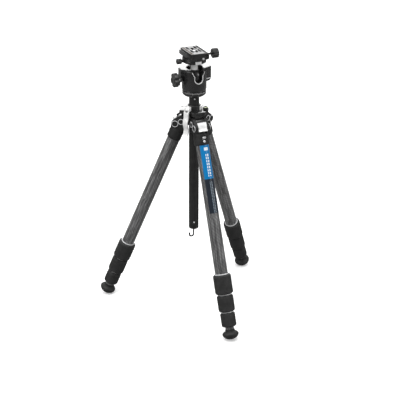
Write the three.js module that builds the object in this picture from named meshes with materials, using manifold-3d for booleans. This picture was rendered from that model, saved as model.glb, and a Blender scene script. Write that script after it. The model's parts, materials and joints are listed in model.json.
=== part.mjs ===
// Photo tripod with a four-section carbon leg set, a centre column, a ball head and a panning
// quick-release clamp. Millimetres, +Z up. The legs stand spread at their first angle stop, with
// every section pushed in. Origin: the floor, under the middle of the whole tripod.
import * as THREE from 'three';
import { mergeVertices } from 'three/addons/utils/BufferGeometryUtils.js';
import Module from 'manifold-3d';

const wasm = await Module();
wasm.setup();

// ---------------------------------------------------------------- driving dimensions
const GAP = 0.3;                          // running clearance between neighbouring pieces
const ROUND = 24;                         // facets round the column and the head
const PIN_SIDES = 12;                     // facets round a pin
const SIDES = 18;                         // facets round a turned piece

const LEG_AZIMUTHS = { front: -90, right: 30, left: 150 };
const SPLAY = THREE.MathUtils.degToRad(22.3);
const TUBE_RADIUS = 14;                   // outer radius of the thickest leg tube
const WALL = 1.2;                         // carbon tube wall
const STEP_IN = WALL + GAP;               // each section is this much smaller in radius
const PIVOT_RADIUS = 26.5;                // leg hinge to column axis
const SHOULDER_END = 47;                  // distances below the hinge, along the leg
const LOCKS = [
  { top: 332, bottom: 374.8, radius: 19.8 },
  { top: 377.6, bottom: 413.6, radius: 18.2 },
  { top: 416.4, bottom: 447.2, radius: 16.4 },
];
const LOCK_GRIP = 8;                      // length of tube end that a twist lock covers
const TUBE_TOPS = [27.3, 55, 60, 65];
const TUBE_4_END = 453;
const FOOT_CENTRE = 463.6;
const FOOT_RADIUS = 18;
const FOOT_DOME = 12.6;                   // height of the dome under the widest ring
const FOOT_LIFT = Math.hypot(FOOT_RADIUS * Math.sin(SPLAY), FOOT_DOME * Math.cos(SPLAY));
const PIVOT_HEIGHT = FOOT_LIFT + FOOT_CENTRE * Math.cos(SPLAY);

const EAR_IN = 10.4;                      // shoulder ears, inner and outer face
const EAR_OUT = 16.4;
const EAR_RADIUS = 13;
const AXLE_RADIUS = 3;
const TAB_PIN = { y: -10.5, z: -9.8, radius: 2.5 };

const SPIDER_BOTTOM = PIVOT_HEIGHT - 9.4;
const SPIDER_TOP = PIVOT_HEIGHT + 25.6;
const HUB_RADIUS = 16.6;
const ARM_END = 31;
const ARM_HALF = 15.5;
const ARM_THICK = 8;
const TONGUE_HALF = EAR_IN - 0.5;
const TONGUE_RADIUS = 11.3;
const BUSH_RADIUS = 14;
const BUSH_TOP = SPIDER_TOP + 10;
const BAND_RADIUS = 18;
const LEVER_AZIMUTH = 210;
const LEVER_PIN = { r: 24.5, z: SPIDER_TOP + 4.5, radius: 1.8 };
const LEVEL_AZIMUTH = -30;

const COLUMN_RADIUS = 11.15;
const COLUMN_BORE = 9;
const COLUMN_BOTTOM = 187.4;
const COLUMN_TOP = 496.4;
const GROOVE_AZIMUTH = -60;               // anti-rotation groove
const SET_SCREWS = { upper: 493, lower: 199, azimuth: -108 };
const SET_SCREW_RADIUS = 1.6;
const STUD_RADIUS = 4.9;                  // 3/8 inch head stud
const CAP_BOTTOM = 181.4;
const HOOK_WIRE = 1.8;
const HOOK_RADIUS = 5.2;
const HOOK_DROP = 15.8;                   // from the cap to the middle of the bend
const HOOK_SHANK = 2.4;
const HOOK_DEPTH = 10;                    // how far the shank reaches into the cap

const HEAD_BOTTOM = 500.6;
const PAN_SPLIT = 513;                    // joint between the panning base and the housing
const BASE_RADIUS = 25.8;
const HOUSING_RADIUS = 26.8;
const HOUSING_TOP = 558.2;
// The block across the housing: its top rises from the left wing to the right one.
const BLOCK = { left: -30.7, right: 35.4, bottom: 532, top: 560, rise: 4 };
const BLOCK_PLAN = [
  [BLOCK.left, 0], [-16, -17], [16, -17], [BLOCK.right, -11], [BLOCK.right, 14], [10, 17],
  [-14, 22], [BLOCK.left, 17],
];
const BALL_RADIUS = 18;
const BALL_HEIGHT = 541;
const NECK_RADIUS = 7.5;
const NOTCH_HALF = 8.6;
const MOUTH = 15.5;                       // radius where the ball shows through
const RIM_OPENING = 18.6;                 // radius of the mouth over the ball
const CUP_TOP = BALL_HEIGHT - 8;
const BALL_PLAY = 0.5;                    // housing bore round the ball
const MAIN_KNOB_HEIGHT = 538;
const BASE_KNOB_HEIGHT = PAN_SPLIT + 7;

const DISC_RADIUS = 26;
const DISC_BOTTOM = 573;
const DISC_KNOB_HEIGHT = 578.4;
const CLAMP_BOTTOM = 584.8;
const CLAMP_FLOOR = 589.6;
const CLAMP_HALF = 30;                    // half length along the dovetail
const JAW_LIP = { floor: 590.6, tip: 594.2, top: 595.3, outer: 594.3 };
const JAW_OUTER = { left: -22.5, right: 21.5 };
const JAW_SPLIT = 14;                     // where the moving jaw meets the fixed body
const PLATE_TOP = 599.4;
const PLATE_SHOULDER = 595.7;             // underside of the plate's rim
const PLATE_SLOT = { half: 3.5, run: 14, counterbore: 7, counterboreTop: 593.6 };
const PLATE_HALF_X = 19.5;
const PLATE_HALF_Y = 30.5;
const SCREW_HEIGHT = 587.2;               // clamp screw under the plate
const CAMERA_SCREW = { bottom: 590.4, flange: 593.2, head: 6.4, radius: 3.1 };

// ---------------------------------------------------------------- materials
const finish = (color, roughness, metalness) => ({ color, roughness, metalness });
const CARBON = finish(0x5f6062, 0.42, 0.1);
const RUBBER = finish(0x232425, 0.85, 0);
const ANODISED = finish(0x17181a, 0.35, 0.6);
const MATTE_BLACK = finish(0x1e1f20, 0.7, 0.1);
const SILVER = finish(0xc4c5c4, 0.3, 0.9);
const STEEL = finish(0x9fa1a3, 0.25, 1);
const VIAL = finish(0xd7e4a0, 0.1, 0);

// ---------------------------------------------------------------- geometry helpers
const rad = THREE.MathUtils.degToRad;

// Position-only geometry with shared vertices, no collapsed triangles and its faces outward.
function welded(source) {
  const bare = source.clone();
  for (const name of Object.keys(bare.attributes)) {
    if (name !== 'position') bare.deleteAttribute(name);
  }
  const merged = mergeVertices(bare, 1e-4);
  const from = merged.index.array;
  const at = merged.attributes.position;
  const index = [];
  let volume = 0;
  const [a, b, c] = [new THREE.Vector3(), new THREE.Vector3(), new THREE.Vector3()];
  for (let i = 0; i < from.length; i += 3) {
    const [p, q, r] = [from[i], from[i + 1], from[i + 2]];
    if (p === q || q === r || r === p) continue;
    index.push(p, q, r);
    a.fromBufferAttribute(at, p);
    b.fromBufferAttribute(at, q);
    c.fromBufferAttribute(at, r);
    volume += a.dot(b.cross(c));
  }
  if (volume < 0) index.reverse();
  merged.setIndex(index);
  return merged;
}

function solid(geometry) {
  const g = welded(geometry);
  const mesh = new wasm.Mesh({
    numProp: 3,
    vertProperties: new Float32Array(g.attributes.position.array),
    triVerts: new Uint32Array(g.index.array),
  });
  return new wasm.Manifold(mesh);
}

function geometryOf(manifold) {
  const mesh = manifold.getMesh();
  const g = new THREE.BufferGeometry();
  g.setAttribute('position', new THREE.BufferAttribute(new Float32Array(mesh.vertProperties), 3));
  g.setIndex(new THREE.BufferAttribute(new Uint32Array(mesh.triVerts), 1));
  return g;
}

const join = (...pieces) => pieces.map(solid).reduce((sum, piece) => sum.add(piece));

const fused = (...pieces) => geometryOf(join(...pieces));

function carve(body, ...cutters) {
  const start = body instanceof THREE.BufferGeometry ? solid(body) : body;
  return geometryOf(cutters.map(solid).reduce((left, cutter) => left.subtract(cutter), start));
}

// A turned piece: [radius, height] points, turned about Z.
function turned(profile, sides = SIDES) {
  const points = profile.map(([r, z]) => new THREE.Vector2(r, z));
  return welded(new THREE.LatheGeometry(points, sides).rotateX(Math.PI / 2));
}

// A turned ring: the profile closes on itself.
const ring = (profile, sides = SIDES) => turned([...profile, profile[0]], sides);

function pipe(outer, inner, low, high, sides = SIDES) {
  return ring([[inner, low], [outer, low], [outer, high], [inner, high]], sides);
}

const rod = (radius, low, high, sides = SIDES) =>
  turned([[0, low], [radius, low], [radius, high], [0, high]], sides);

const block = (x0, x1, y0, y1, z0, z1) => new THREE.BoxGeometry(x1 - x0, y1 - y0, z1 - z0)
  .translate((x0 + x1) / 2, (y0 + y1) / 2, (z0 + z1) / 2);

const flat = (shape, depth, curveSegments = 5) =>
  new THREE.ExtrudeGeometry(shape, { depth, bevelEnabled: false, curveSegments });

// An outline in the YZ plane, pushed along X from -half to +half.
const sideways = (shape, half, curveSegments = 5) => flat(shape, 2 * half, curveSegments)
  .translate(0, 0, -half).applyMatrix4(new THREE.Matrix4().set(
    0, 0, 1, 0,
    1, 0, 0, 0,
    0, 1, 0, 0,
    0, 0, 0, 1));

// Turned pieces laid along +X.
const alongX = (geometry) => geometry.rotateY(Math.PI / 2);

function outline(points) {
  const shape = new THREE.Shape();
  points.forEach(([x, y], i) => (i ? shape.lineTo(x, y) : shape.moveTo(x, y)));
  return shape;
}

// A round knob outline with scalloped grip lobes.
function lobed(radius, depth, lobes, steps) {
  const points = [];
  for (let i = 0; i < lobes * steps; i++) {
    const angle = (i / (lobes * steps)) * Math.PI * 2;
    const bite = Math.max(0, -Math.cos(angle * lobes)) ** 1.5;
    const r = radius - depth * bite;
    points.push([r * Math.cos(angle), r * Math.sin(angle)]);
  }
  return outline(points);
}

// ---------------------------------------------------------------- scene assembly
const tripod = new THREE.Group();

function place(group, name, geometry, look) {
  const mesh = new THREE.Mesh(geometry, new THREE.MeshStandardMaterial(look));
  mesh.geometry.computeVertexNormals();
  mesh.name = name;
  group.add(mesh);
  return mesh;
}

// ---------------------------------------------------------------- legs
// Leg frame: the hinge is the origin, X is the hinge axis, -Y faces outward, -Z runs down the leg.
function shoulder() {
  const side = new THREE.Shape();
  const flatIn = TUBE_RADIUS + 1;
  side.moveTo(flatIn, -SHOULDER_END + 8);
  side.lineTo(flatIn, -24);
  side.lineTo(EAR_RADIUS, -9);
  side.absarc(0, 0, EAR_RADIUS, 0, rad(150), false);
  side.absarc(TAB_PIN.y, TAB_PIN.z, 8.4, rad(150), rad(215), false);
  side.lineTo(-16.6, -24);
  side.lineTo(-16.6, -SHOULDER_END + 8);
  const head = sideways(side, EAR_OUT);
  const socket = turned([[0, -20], [EAR_OUT, -20], [16.6, -24], [16.6, -SHOULDER_END + 1.5],
    [15.8, -SHOULDER_END], [0, -SHOULDER_END]]);
  const tower = solid(head).intersect(join(
    turned([[0, -26], [EAR_OUT, -26], [EAR_OUT, 20], [0, 20]], SIDES),
    block(-EAR_OUT, EAR_OUT, -20, EAR_RADIUS, -19, 20)));
  return carve(
    tower.add(solid(socket)),
    block(-EAR_IN, EAR_IN, -30, 30, -22.5, 30),
    rod(TUBE_RADIUS + GAP, -SHOULDER_END - 1, -27),
    block(-30, 30, flatIn, 30, -SHOULDER_END - 1, -10),
    alongX(rod(AXLE_RADIUS + GAP, -30, 30, PIN_SIDES)),
    alongX(rod(TAB_PIN.radius + GAP, -30, 30, PIN_SIDES)).translate(0, TAB_PIN.y, TAB_PIN.z));
}

function pivotBolt() {
  const face = EAR_OUT + GAP;
  return alongX(turned([
    [0, -face - 2], [5.4, -face - 2], [6.4, -face - 1.2], [6.4, -face], [AXLE_RADIUS, -face],
    [AXLE_RADIUS, face], [6.4, face], [6.4, face + 1.2], [5.4, face + 2], [0, face + 2],
  ], PIN_SIDES));
}

// Angle lock: thumb tab, its hinge pin and the two round caps on the pin, all one piece.
function angleLock() {
  const { y, z, radius } = TAB_PIN;
  const face = EAR_OUT + GAP;
  const tab = outline([
    [-16.4, 1], [-13.2, 1], [-12.2, -2], [-9.7, -7.3], [-8.6, -13], [-11.6, -17.5], [-15.2, -19],
    [-19.4, -18.2], [-19.2, -16.4], [-17.6, -14.5], [-18, -9], [-17.9, -4],
  ]);
  const pin = alongX(turned([
    [0, -face - 1.5], [6.2, -face - 1.5], [7.2, -face - 0.7], [7.2, -face], [radius, -face],
    [radius, face], [7.2, face], [7.2, face + 0.7], [6.2, face + 1.5], [0, face + 1.5],
  ], PIN_SIDES)).translate(0, y, z);
  return geometryOf(join(sideways(tab, EAR_IN - GAP), pin));
}

function twistLock({ top, bottom, radius }, tubeOuter) {
  const grip = tubeOuter + GAP;
  const bore = tubeOuter - STEP_IN + GAP;
  return ring([
    [grip, -top], [radius - 3, -top], [radius, -top - 4], [radius - 0.3, -bottom + 4],
    [radius - 3, -bottom], [bore, -bottom], [bore, -top - LOCK_GRIP - GAP],
    [grip, -top - LOCK_GRIP - GAP],
  ]);
}

function foot(tubeOuter) {
  const spigot = tubeOuter - WALL - GAP;
  const profile = [[0, -TUBE_4_END + 18], [spigot, -TUBE_4_END + 18], [spigot, -TUBE_4_END - GAP],
    [tubeOuter + 0.6, -TUBE_4_END - GAP], [tubeOuter + 1.4, -TUBE_4_END - 3],
    [FOOT_RADIUS - 2, -FOOT_CENTRE + 3.6]];
  const steps = 5;
  for (let i = 0; i <= steps; i++) {
    const angle = (i / steps) * Math.PI / 2;
    const r = i === steps ? 0 : FOOT_RADIUS * Math.cos(angle);
    profile.push([r, -FOOT_CENTRE - FOOT_DOME * Math.sin(angle)]);
  }
  return turned(profile);
}

function leg(side, azimuth) {
  const arm = new THREE.Group();
  arm.rotation.z = rad(azimuth + 90);
  const hinge = new THREE.Group();
  hinge.position.set(0, -PIVOT_RADIUS, PIVOT_HEIGHT);
  hinge.rotation.x = -SPLAY;
  arm.add(hinge);
  tripod.add(arm);
  place(hinge, `${side}_shoulder`, shoulder(), MATTE_BLACK);
  place(hinge, `${side}_pivot_bolt`, pivotBolt(), STEEL);
  place(hinge, `${side}_angle_lock`, angleLock(), SILVER);
  TUBE_TOPS.forEach((top, i) => {
    const outer = TUBE_RADIUS - i * STEP_IN;
    const end = i < LOCKS.length ? LOCKS[i].top + LOCK_GRIP : TUBE_4_END;
    place(hinge, `${side}_tube_${i + 1}`, pipe(outer, outer - WALL, -end, -top), CARBON);
    if (i < LOCKS.length) {
      place(hinge, `${side}_twist_lock_${i + 1}`, twistLock(LOCKS[i], outer), RUBBER);
    }
  });
  place(hinge, `${side}_foot`, foot(TUBE_RADIUS - 3 * STEP_IN), RUBBER);
}

for (const [side, azimuth] of Object.entries(LEG_AZIMUTHS)) leg(side, azimuth);

// ---------------------------------------------------------------- spider and column clamp
// Everything here is drawn towards -Y and then turned to its azimuth.
const turnedTo = (geometry, azimuth) => geometry.rotateZ(rad(azimuth + 90));

function spiderArm(azimuth) {
  const corner = 3;
  const plan = outline([
    [-ARM_HALF, 0], [-ARM_HALF, -ARM_END + corner], [-ARM_HALF + corner, -ARM_END],
    [ARM_HALF - corner, -ARM_END], [ARM_HALF, -ARM_END + corner], [ARM_HALF, 0],
  ]);
  const arm = flat(plan, ARM_THICK).translate(0, 0, SPIDER_TOP - ARM_THICK);
  const tongue = block(-TONGUE_HALF, TONGUE_HALF, -PIVOT_RADIUS, 0, SPIDER_BOTTOM, SPIDER_TOP - 1);
  const tip = alongX(rod(TONGUE_RADIUS, -TONGUE_HALF, TONGUE_HALF))
    .translate(0, -PIVOT_RADIUS, PIVOT_HEIGHT);
  return [arm, tongue, tip].map((piece) => turnedTo(piece, azimuth));
}

function spiderCuts(azimuth) {
  const axle = alongX(rod(AXLE_RADIUS + GAP, -30, 30, PIN_SIDES))
    .translate(0, -PIVOT_RADIUS, PIVOT_HEIGHT);
  const half = 7;
  const tall = 2.4;
  const stadium = new THREE.Shape();
  stadium.absarc(half, 0, tall, -Math.PI / 2, Math.PI / 2, false);
  stadium.absarc(-half, 0, tall, Math.PI / 2, Math.PI * 1.5, false);
  const recess = flat(stadium, 3).rotateX(Math.PI / 2)
    .translate(0, -ARM_END + 1.4, SPIDER_TOP - ARM_THICK / 2);
  return [axle, recess].map((piece) => turnedTo(piece, azimuth));
}

function spider() {
  const azimuths = Object.values(LEG_AZIMUTHS);
  const hub = turned([[0, SPIDER_BOTTOM], [HUB_RADIUS - 1, SPIDER_BOTTOM],
    [HUB_RADIUS, SPIDER_BOTTOM + 1], [HUB_RADIUS, SPIDER_TOP], [0, SPIDER_TOP]], ROUND);
  const shelf = turnedTo(block(-6.6, 6.6, -31.5, -10, SPIDER_TOP - 5, SPIDER_TOP), LEVEL_AZIMUTH);
  return carve(
    join(hub, shelf, ...azimuths.flatMap(spiderArm)),
    ...azimuths.flatMap(spiderCuts),
    rod(BUSH_RADIUS + GAP, SPIDER_BOTTOM - 1, SPIDER_TOP + 1, ROUND));
}

function columnBush() {
  const sleeve = ring([
    [COLUMN_RADIUS + GAP, SPIDER_BOTTOM], [BUSH_RADIUS, SPIDER_BOTTOM], [BUSH_RADIUS, BUSH_TOP - 1],
    [BUSH_RADIUS - 1, BUSH_TOP], [COLUMN_RADIUS + GAP, BUSH_TOP],
  ], ROUND);
  const key = turnedTo(block(-1.6, 1.6, -BUSH_RADIUS + 1, -COLUMN_RADIUS + 0.8,
    SPIDER_BOTTOM, BUSH_TOP - 5), GROOVE_AZIMUTH);
  return geometryOf(join(sleeve, key));
}

// A C-shaped clamp band, open in front, with the lever's lug on its left end.
function clampBand() {
  const low = SPIDER_TOP + GAP;
  const high = SPIDER_TOP + 8.6;
  const band = pipe(BAND_RADIUS, BUSH_RADIUS + GAP, low, high, ROUND);
  const opening = outline([[0, 0], [-26, -30], [26, -30]]);
  const lug = outline([[-LEVER_PIN.r, low], [-15, low], [-15, high], [-LEVER_PIN.r, high]]);
  const cutBand = solid(band).subtract(
    solid(turnedTo(flat(opening, 30).translate(0, 0, SPIDER_TOP - 5), -100)));
  const lever = turnedTo(fused(
    sideways(lug, 3.4),
    alongX(rod(4, -3.4, 3.4, 16)).translate(0, -LEVER_PIN.r, LEVER_PIN.z)), LEVER_AZIMUTH);
  const hole = turnedTo(alongX(rod(LEVER_PIN.radius + GAP, -20, 20, 12))
    .translate(0, -LEVER_PIN.r, LEVER_PIN.z), LEVER_AZIMUTH);
  return carve(cutBand.add(solid(lever)), hole, rod(BUSH_RADIUS + GAP, low - 1, high + 1, ROUND));
}

function columnLever() {
  const { r, z, radius } = LEVER_PIN;
  const spine = new THREE.SplineCurve([
    [r + 1, z - 1], [28.4, z - 9], [28.6, z - 18], [31.4, z - 27], [31, z - 35], [28.4, z - 44],
    [29.4, z - 52], [31.6, z - 58],
  ].map(([u, v]) => new THREE.Vector2(-u, v)));
  const outer = [];
  const inner = [];
  const steps = 12;
  for (let i = 0; i <= steps; i++) {
    const at = spine.getPoint(i / steps);
    const along = spine.getTangent(i / steps);
    const side = new THREE.Vector2(along.y, -along.x).multiplyScalar(1.5);
    outer.push([at.x + side.x, at.y + side.y]);
    inner.unshift([at.x - side.x, at.y - side.y]);
  }
  const strap = sideways(outline([...outer, ...inner]), 6.2);
  const knuckle = alongX(rod(4.2, -6.2, 6.2, 16)).translate(0, -r, z);
  const slot = block(-3.7, 3.7, -r - 5, -r + 8, z - 6.2, z + 6);
  const pin = alongX(turned([[0, -7], [radius + 0.8, -7], [radius, -6], [radius, 6],
    [radius + 0.8, 7], [0, 7]], 12)).translate(0, -r, z);
  const fork = join(strap, knuckle).subtract(solid(slot)).add(solid(pin));
  return turnedTo(geometryOf(fork), LEVER_AZIMUTH);
}

function bubbleLevel(part) {
  const base = SPIDER_TOP + GAP;
  const at = -25;
  const shapes = {
    ring: ring([[4.6, base + 0.8], [4.6, base + 4], [6, base + 4], [6, base], [0.5, base],
      [0.5, base + 0.8]], 20),
    vial: rod(4.3, base + 1.1, base + 3.6, 20),
  };
  return turnedTo(shapes[part].translate(0, at, 0), LEVEL_AZIMUTH);
}

place(tripod, 'spider', spider(), ANODISED);
place(tripod, 'column_bush', columnBush(), MATTE_BLACK);
place(tripod, 'clamp_band', clampBand(), SILVER);
place(tripod, 'column_lever', columnLever(), SILVER);
place(tripod, 'level_ring', bubbleLevel('ring'), ANODISED);
place(tripod, 'level_vial', bubbleLevel('vial'), VIAL);

// ---------------------------------------------------------------- centre column
function columnTube() {
  const groove = turnedTo(block(-2, 2, -COLUMN_RADIUS - 1, -COLUMN_RADIUS + 1.1,
    COLUMN_BOTTOM + 8, COLUMN_TOP - 4), GROOVE_AZIMUTH);
  return carve(pipe(COLUMN_RADIUS, COLUMN_BORE, COLUMN_BOTTOM, COLUMN_TOP, ROUND), groove,
    ...[SET_SCREWS.upper, SET_SCREWS.lower].map((z) =>
      setScrewCylinder(SET_SCREW_RADIUS + GAP, 6, 13, z)));
}

// A radial cylinder at one of the set screws.
const setScrewCylinder = (radius, from, to, z) => turnedTo(
  rod(radius, from, to, 12).rotateX(Math.PI / 2).translate(0, 0, z), SET_SCREWS.azimuth);

const setScrew = (z) =>
  setScrewCylinder(SET_SCREW_RADIUS, COLUMN_BORE + GAP, COLUMN_RADIUS + 0.1, z);

function columnPlate() {
  return carve(
    turned([[0, COLUMN_TOP - 16], [COLUMN_BORE - GAP, COLUMN_TOP - 16],
      [COLUMN_BORE - GAP, COLUMN_TOP + GAP], [14, COLUMN_TOP + GAP], [14, HEAD_BOTTOM - GAP],
      [0, HEAD_BOTTOM - GAP]], ROUND),
    rod(STUD_RADIUS + GAP, COLUMN_TOP - 8, HEAD_BOTTOM + 1, 16));
}

const headStud = () => turned([[0, COLUMN_TOP - 7.5], [STUD_RADIUS, COLUMN_TOP - 7.5],
  [STUD_RADIUS, HEAD_BOTTOM + 7], [STUD_RADIUS - 0.7, HEAD_BOTTOM + 8], [0, HEAD_BOTTOM + 8]], 16);

const columnCap = () => carve(
  turned([[0, CAP_BOTTOM], [COLUMN_RADIUS - 1, CAP_BOTTOM], [COLUMN_RADIUS, CAP_BOTTOM + 1],
    [COLUMN_RADIUS, COLUMN_BOTTOM - GAP], [COLUMN_BORE - GAP, COLUMN_BOTTOM - GAP],
    [COLUMN_BORE - GAP, COLUMN_BOTTOM + 14], [0, COLUMN_BOTTOM + 14]], ROUND),
  rod(HOOK_SHANK + GAP, CAP_BOTTOM - 1, CAP_BOTTOM + HOOK_DEPTH + 0.6, PIN_SIDES));

// The ballast hook: a wire J under a round shank that swivels in the cap.
function ballastHook() {
  const middle = CAP_BOTTOM - HOOK_DROP;
  const start = new THREE.Vector3(0, 0, CAP_BOTTOM - 4);
  const turn = [];
  const steps = 8;
  for (let i = 0; i <= steps; i++) {
    const angle = (i / steps) * rad(215);
    turn.push(new THREE.Vector3(-HOOK_RADIUS + HOOK_RADIUS * Math.cos(angle), 0,
      middle - HOOK_RADIUS * Math.sin(angle)));
  }
  const path = new THREE.CatmullRomCurve3([start, ...turn]);
  const wire = new THREE.Shape().absarc(0, 0, HOOK_WIRE, 0, Math.PI * 2, false);
  const hook = new THREE.ExtrudeGeometry(wire, {
    steps: 18, extrudePath: path, curveSegments: 4, bevelEnabled: false,
  });
  const shank = turned([[0, CAP_BOTTOM - 4.6], [2.6, CAP_BOTTOM - 4.6], [3.4, CAP_BOTTOM - 3.6],
    [3.4, CAP_BOTTOM - GAP], [HOOK_SHANK, CAP_BOTTOM - GAP], [HOOK_SHANK, CAP_BOTTOM + HOOK_DEPTH],
    [0, CAP_BOTTOM + HOOK_DEPTH]], 14);
  return fused(shank, hook);
}

place(tripod, 'column_tube', columnTube(), MATTE_BLACK);
place(tripod, 'upper_set_screw', setScrew(SET_SCREWS.upper), STEEL);
place(tripod, 'lower_set_screw', setScrew(SET_SCREWS.lower), STEEL);
place(tripod, 'column_plate', columnPlate(), ANODISED);
place(tripod, 'head_stud', headStud(), STEEL);
place(tripod, 'column_cap', columnCap(), MATTE_BLACK);
place(tripod, 'ballast_hook', ballastHook(), ANODISED);

// ---------------------------------------------------------------- ball head
// A sphere about the ball's centre.
const sphere = (radius) => new THREE.SphereGeometry(radius, ROUND, 12).rotateX(Math.PI / 2)
  .translate(0, 0, BALL_HEIGHT);

// A shape in X and Z drawn out across Y, the same way both sides of the middle.
const acrossY = (shape, half) => flat(shape, 2 * half).rotateX(Math.PI / 2)
  .translate(0, half, 0);

function panningBase() {
  const base = turned([[0, HEAD_BOTTOM], [BASE_RADIUS - 3.4, HEAD_BOTTOM],
    [BASE_RADIUS, HEAD_BOTTOM + 3.4], [BASE_RADIUS, PAN_SPLIT - 1], [BASE_RADIUS - 0.6, PAN_SPLIT],
    [0, PAN_SPLIT]], ROUND);
  return carve(base, rod(STUD_RADIUS + GAP, HEAD_BOTTOM - 1, HEAD_BOTTOM + 9, 16));
}

function housing() {
  const floor = PAN_SPLIT + GAP;
  const barrel = turned([[0, floor], [BASE_RADIUS, floor], [HOUSING_RADIUS, floor + 3],
    [HOUSING_RADIUS, HOUSING_TOP - 2.2], [HOUSING_RADIUS - 2.2, HOUSING_TOP],
    [0, HOUSING_TOP]], ROUND);
  const { left, right, bottom, top, rise } = BLOCK;
  const high = top + rise;
  const soft = 2;
  const face = outline([
    [left, bottom + 6], [left, top - soft], [left + soft, top], [right - soft, high],
    [right, high - soft], [right, bottom + 5], [right - 5, bottom], [left + 6, bottom],
  ]);
  const plan = flat(outline(BLOCK_PLAN), high - bottom + 2).translate(0, 0, bottom - 1);
  const cross = geometryOf(solid(acrossY(face, 30)).intersect(solid(plan)));
  const cavity = fused(
    rod(BALL_RADIUS + BALL_PLAY, floor + 3, BALL_HEIGHT, ROUND),
    sphere(BALL_RADIUS + BALL_PLAY),
    turned([[0, BALL_HEIGHT + 6], [MOUTH, BALL_HEIGHT + 6], [MOUTH, BALL_HEIGHT + 11],
      [RIM_OPENING, high + 0.5], [0, high + 0.5]], ROUND));
  const notch = new THREE.Shape();
  notch.absarc(0, BALL_HEIGHT, NOTCH_HALF, Math.PI, Math.PI * 2, false);
  notch.lineTo(NOTCH_HALF, BALL_HEIGHT + 6);
  notch.lineTo(NOTCH_HALF + 7.5, high);
  notch.lineTo(-NOTCH_HALF - 7.5, high);
  notch.lineTo(-NOTCH_HALF, BALL_HEIGHT + 6);
  const slot = flat(notch, 40).rotateX(Math.PI / 2);
  const knobBore = alongX(rod(3.3, -40, -16, 12)).translate(0, 0, MAIN_KNOB_HEIGHT);
  const panBore = rod(2.4, 14, 40, PIN_SIDES).rotateX(-Math.PI / 2)
    .translate(0, 0, BASE_KNOB_HEIGHT);
  return carve(join(barrel, cross), cavity, slot, knobBore, panBore);
}

// The cup that carries the ball inside the housing.
const ballCup = () => carve(
  turned([[0, PAN_SPLIT + 3.7], [17.8, PAN_SPLIT + 3.7], [17.8, CUP_TOP], [0, CUP_TOP]], ROUND),
  sphere(BALL_RADIUS + GAP),
  rod(6, PAN_SPLIT, BALL_HEIGHT, PIN_SIDES));

const ball = () => welded(sphere(BALL_RADIUS));

// The stem over the ball, dished underneath to follow it.
const neck = () => carve(
  turned([[0, BALL_HEIGHT + 14], [NECK_RADIUS, BALL_HEIGHT + 14], [NECK_RADIUS, DISC_BOTTOM - 5],
    [9, DISC_BOTTOM - 2.6], [14, DISC_BOTTOM - GAP], [0, DISC_BOTTOM - GAP]]),
  sphere(BALL_RADIUS + GAP));

// A scalloped knob on a round stem, laid along +X with its grip between near and far.
function gripKnob({ radius, lobes, bite, steps, near, far, stem, stemFrom, shaft, shaftFrom }) {
  const grip = flat(lobed(radius, bite, lobes, steps), far - near).translate(0, 0, near);
  const core = turned([[0, shaftFrom], [shaft, shaftFrom], [shaft, stemFrom], [stem, stemFrom],
    [stem, near + 1], [0, near + 1]], PIN_SIDES);
  const face = turned([[0, far - 1], [radius * 0.62, far - 1], [radius * 0.55, far + 0.7],
    [0, far + 0.7]], PIN_SIDES);
  return alongX(fused(grip, core, face));
}

const mainKnob = () => gripKnob({
  radius: 15.2, lobes: 5, bite: 3, steps: 7, near: 38, far: 49, stem: 6, stemFrom: 31.1,
  shaft: 3, shaftFrom: 19.5,
}).rotateZ(Math.PI).translate(0, 0, MAIN_KNOB_HEIGHT);

const panKnob = () => gripKnob({
  radius: 6.6, lobes: 6, bite: 1, steps: 4, near: 30.6, far: 39.6, stem: 3.4, stemFrom: 27.3,
  shaft: 2, shaftFrom: 19.5,
}).rotateZ(Math.PI / 2).translate(0, 0, BASE_KNOB_HEIGHT);

place(tripod, 'panning_base', panningBase(), ANODISED);
place(tripod, 'head_housing', housing(), ANODISED);
place(tripod, 'ball_cup', ballCup(), MATTE_BLACK);
place(tripod, 'ball', ball(), ANODISED);
place(tripod, 'neck', neck(), SILVER);
place(tripod, 'ball_lock_knob', mainKnob(), ANODISED);
place(tripod, 'base_pan_knob', panKnob(), ANODISED);

// ---------------------------------------------------------------- quick-release clamp
const clampBase = () => carve(
  turned([[0, DISC_BOTTOM], [DISC_RADIUS - 3, DISC_BOTTOM], [DISC_RADIUS, DISC_BOTTOM + 2],
    [DISC_RADIUS, CLAMP_BOTTOM - 1], [DISC_RADIUS - 0.8, CLAMP_BOTTOM - GAP],
    [0, CLAMP_BOTTOM - GAP]], ROUND),
  alongX(rod(2.3, -30, -14, 12)).translate(0, 0, DISC_KNOB_HEIGHT));

const clampPanKnob = () => gripKnob({
  radius: 6.1, lobes: 8, bite: 0.7, steps: 4, near: 30.5, far: 40.2, stem: 3.2, stemFrom: 26.3,
  shaft: 2, shaftFrom: 15,
}).rotateZ(Math.PI).translate(0, 0, DISC_KNOB_HEIGHT);

function clampBody() {
  const { floor, tip, top, outer } = JAW_LIP;
  const { left } = JAW_OUTER;
  const jaw = acrossY(outline([
    [left, CLAMP_BOTTOM + 2], [left + 2, CLAMP_BOTTOM], [JAW_SPLIT, CLAMP_BOTTOM],
    [JAW_SPLIT, CLAMP_FLOOR], [-19.6, CLAMP_FLOOR], [-19.6, floor], [-15.4, tip], [-15.4, top],
    [left + 1, top], [left, outer],
  ]), CLAMP_HALF);
  return carve(jaw, alongX(rod(1.9, -14, 15, 10)).translate(0, 0, SCREW_HEIGHT));
}

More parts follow.
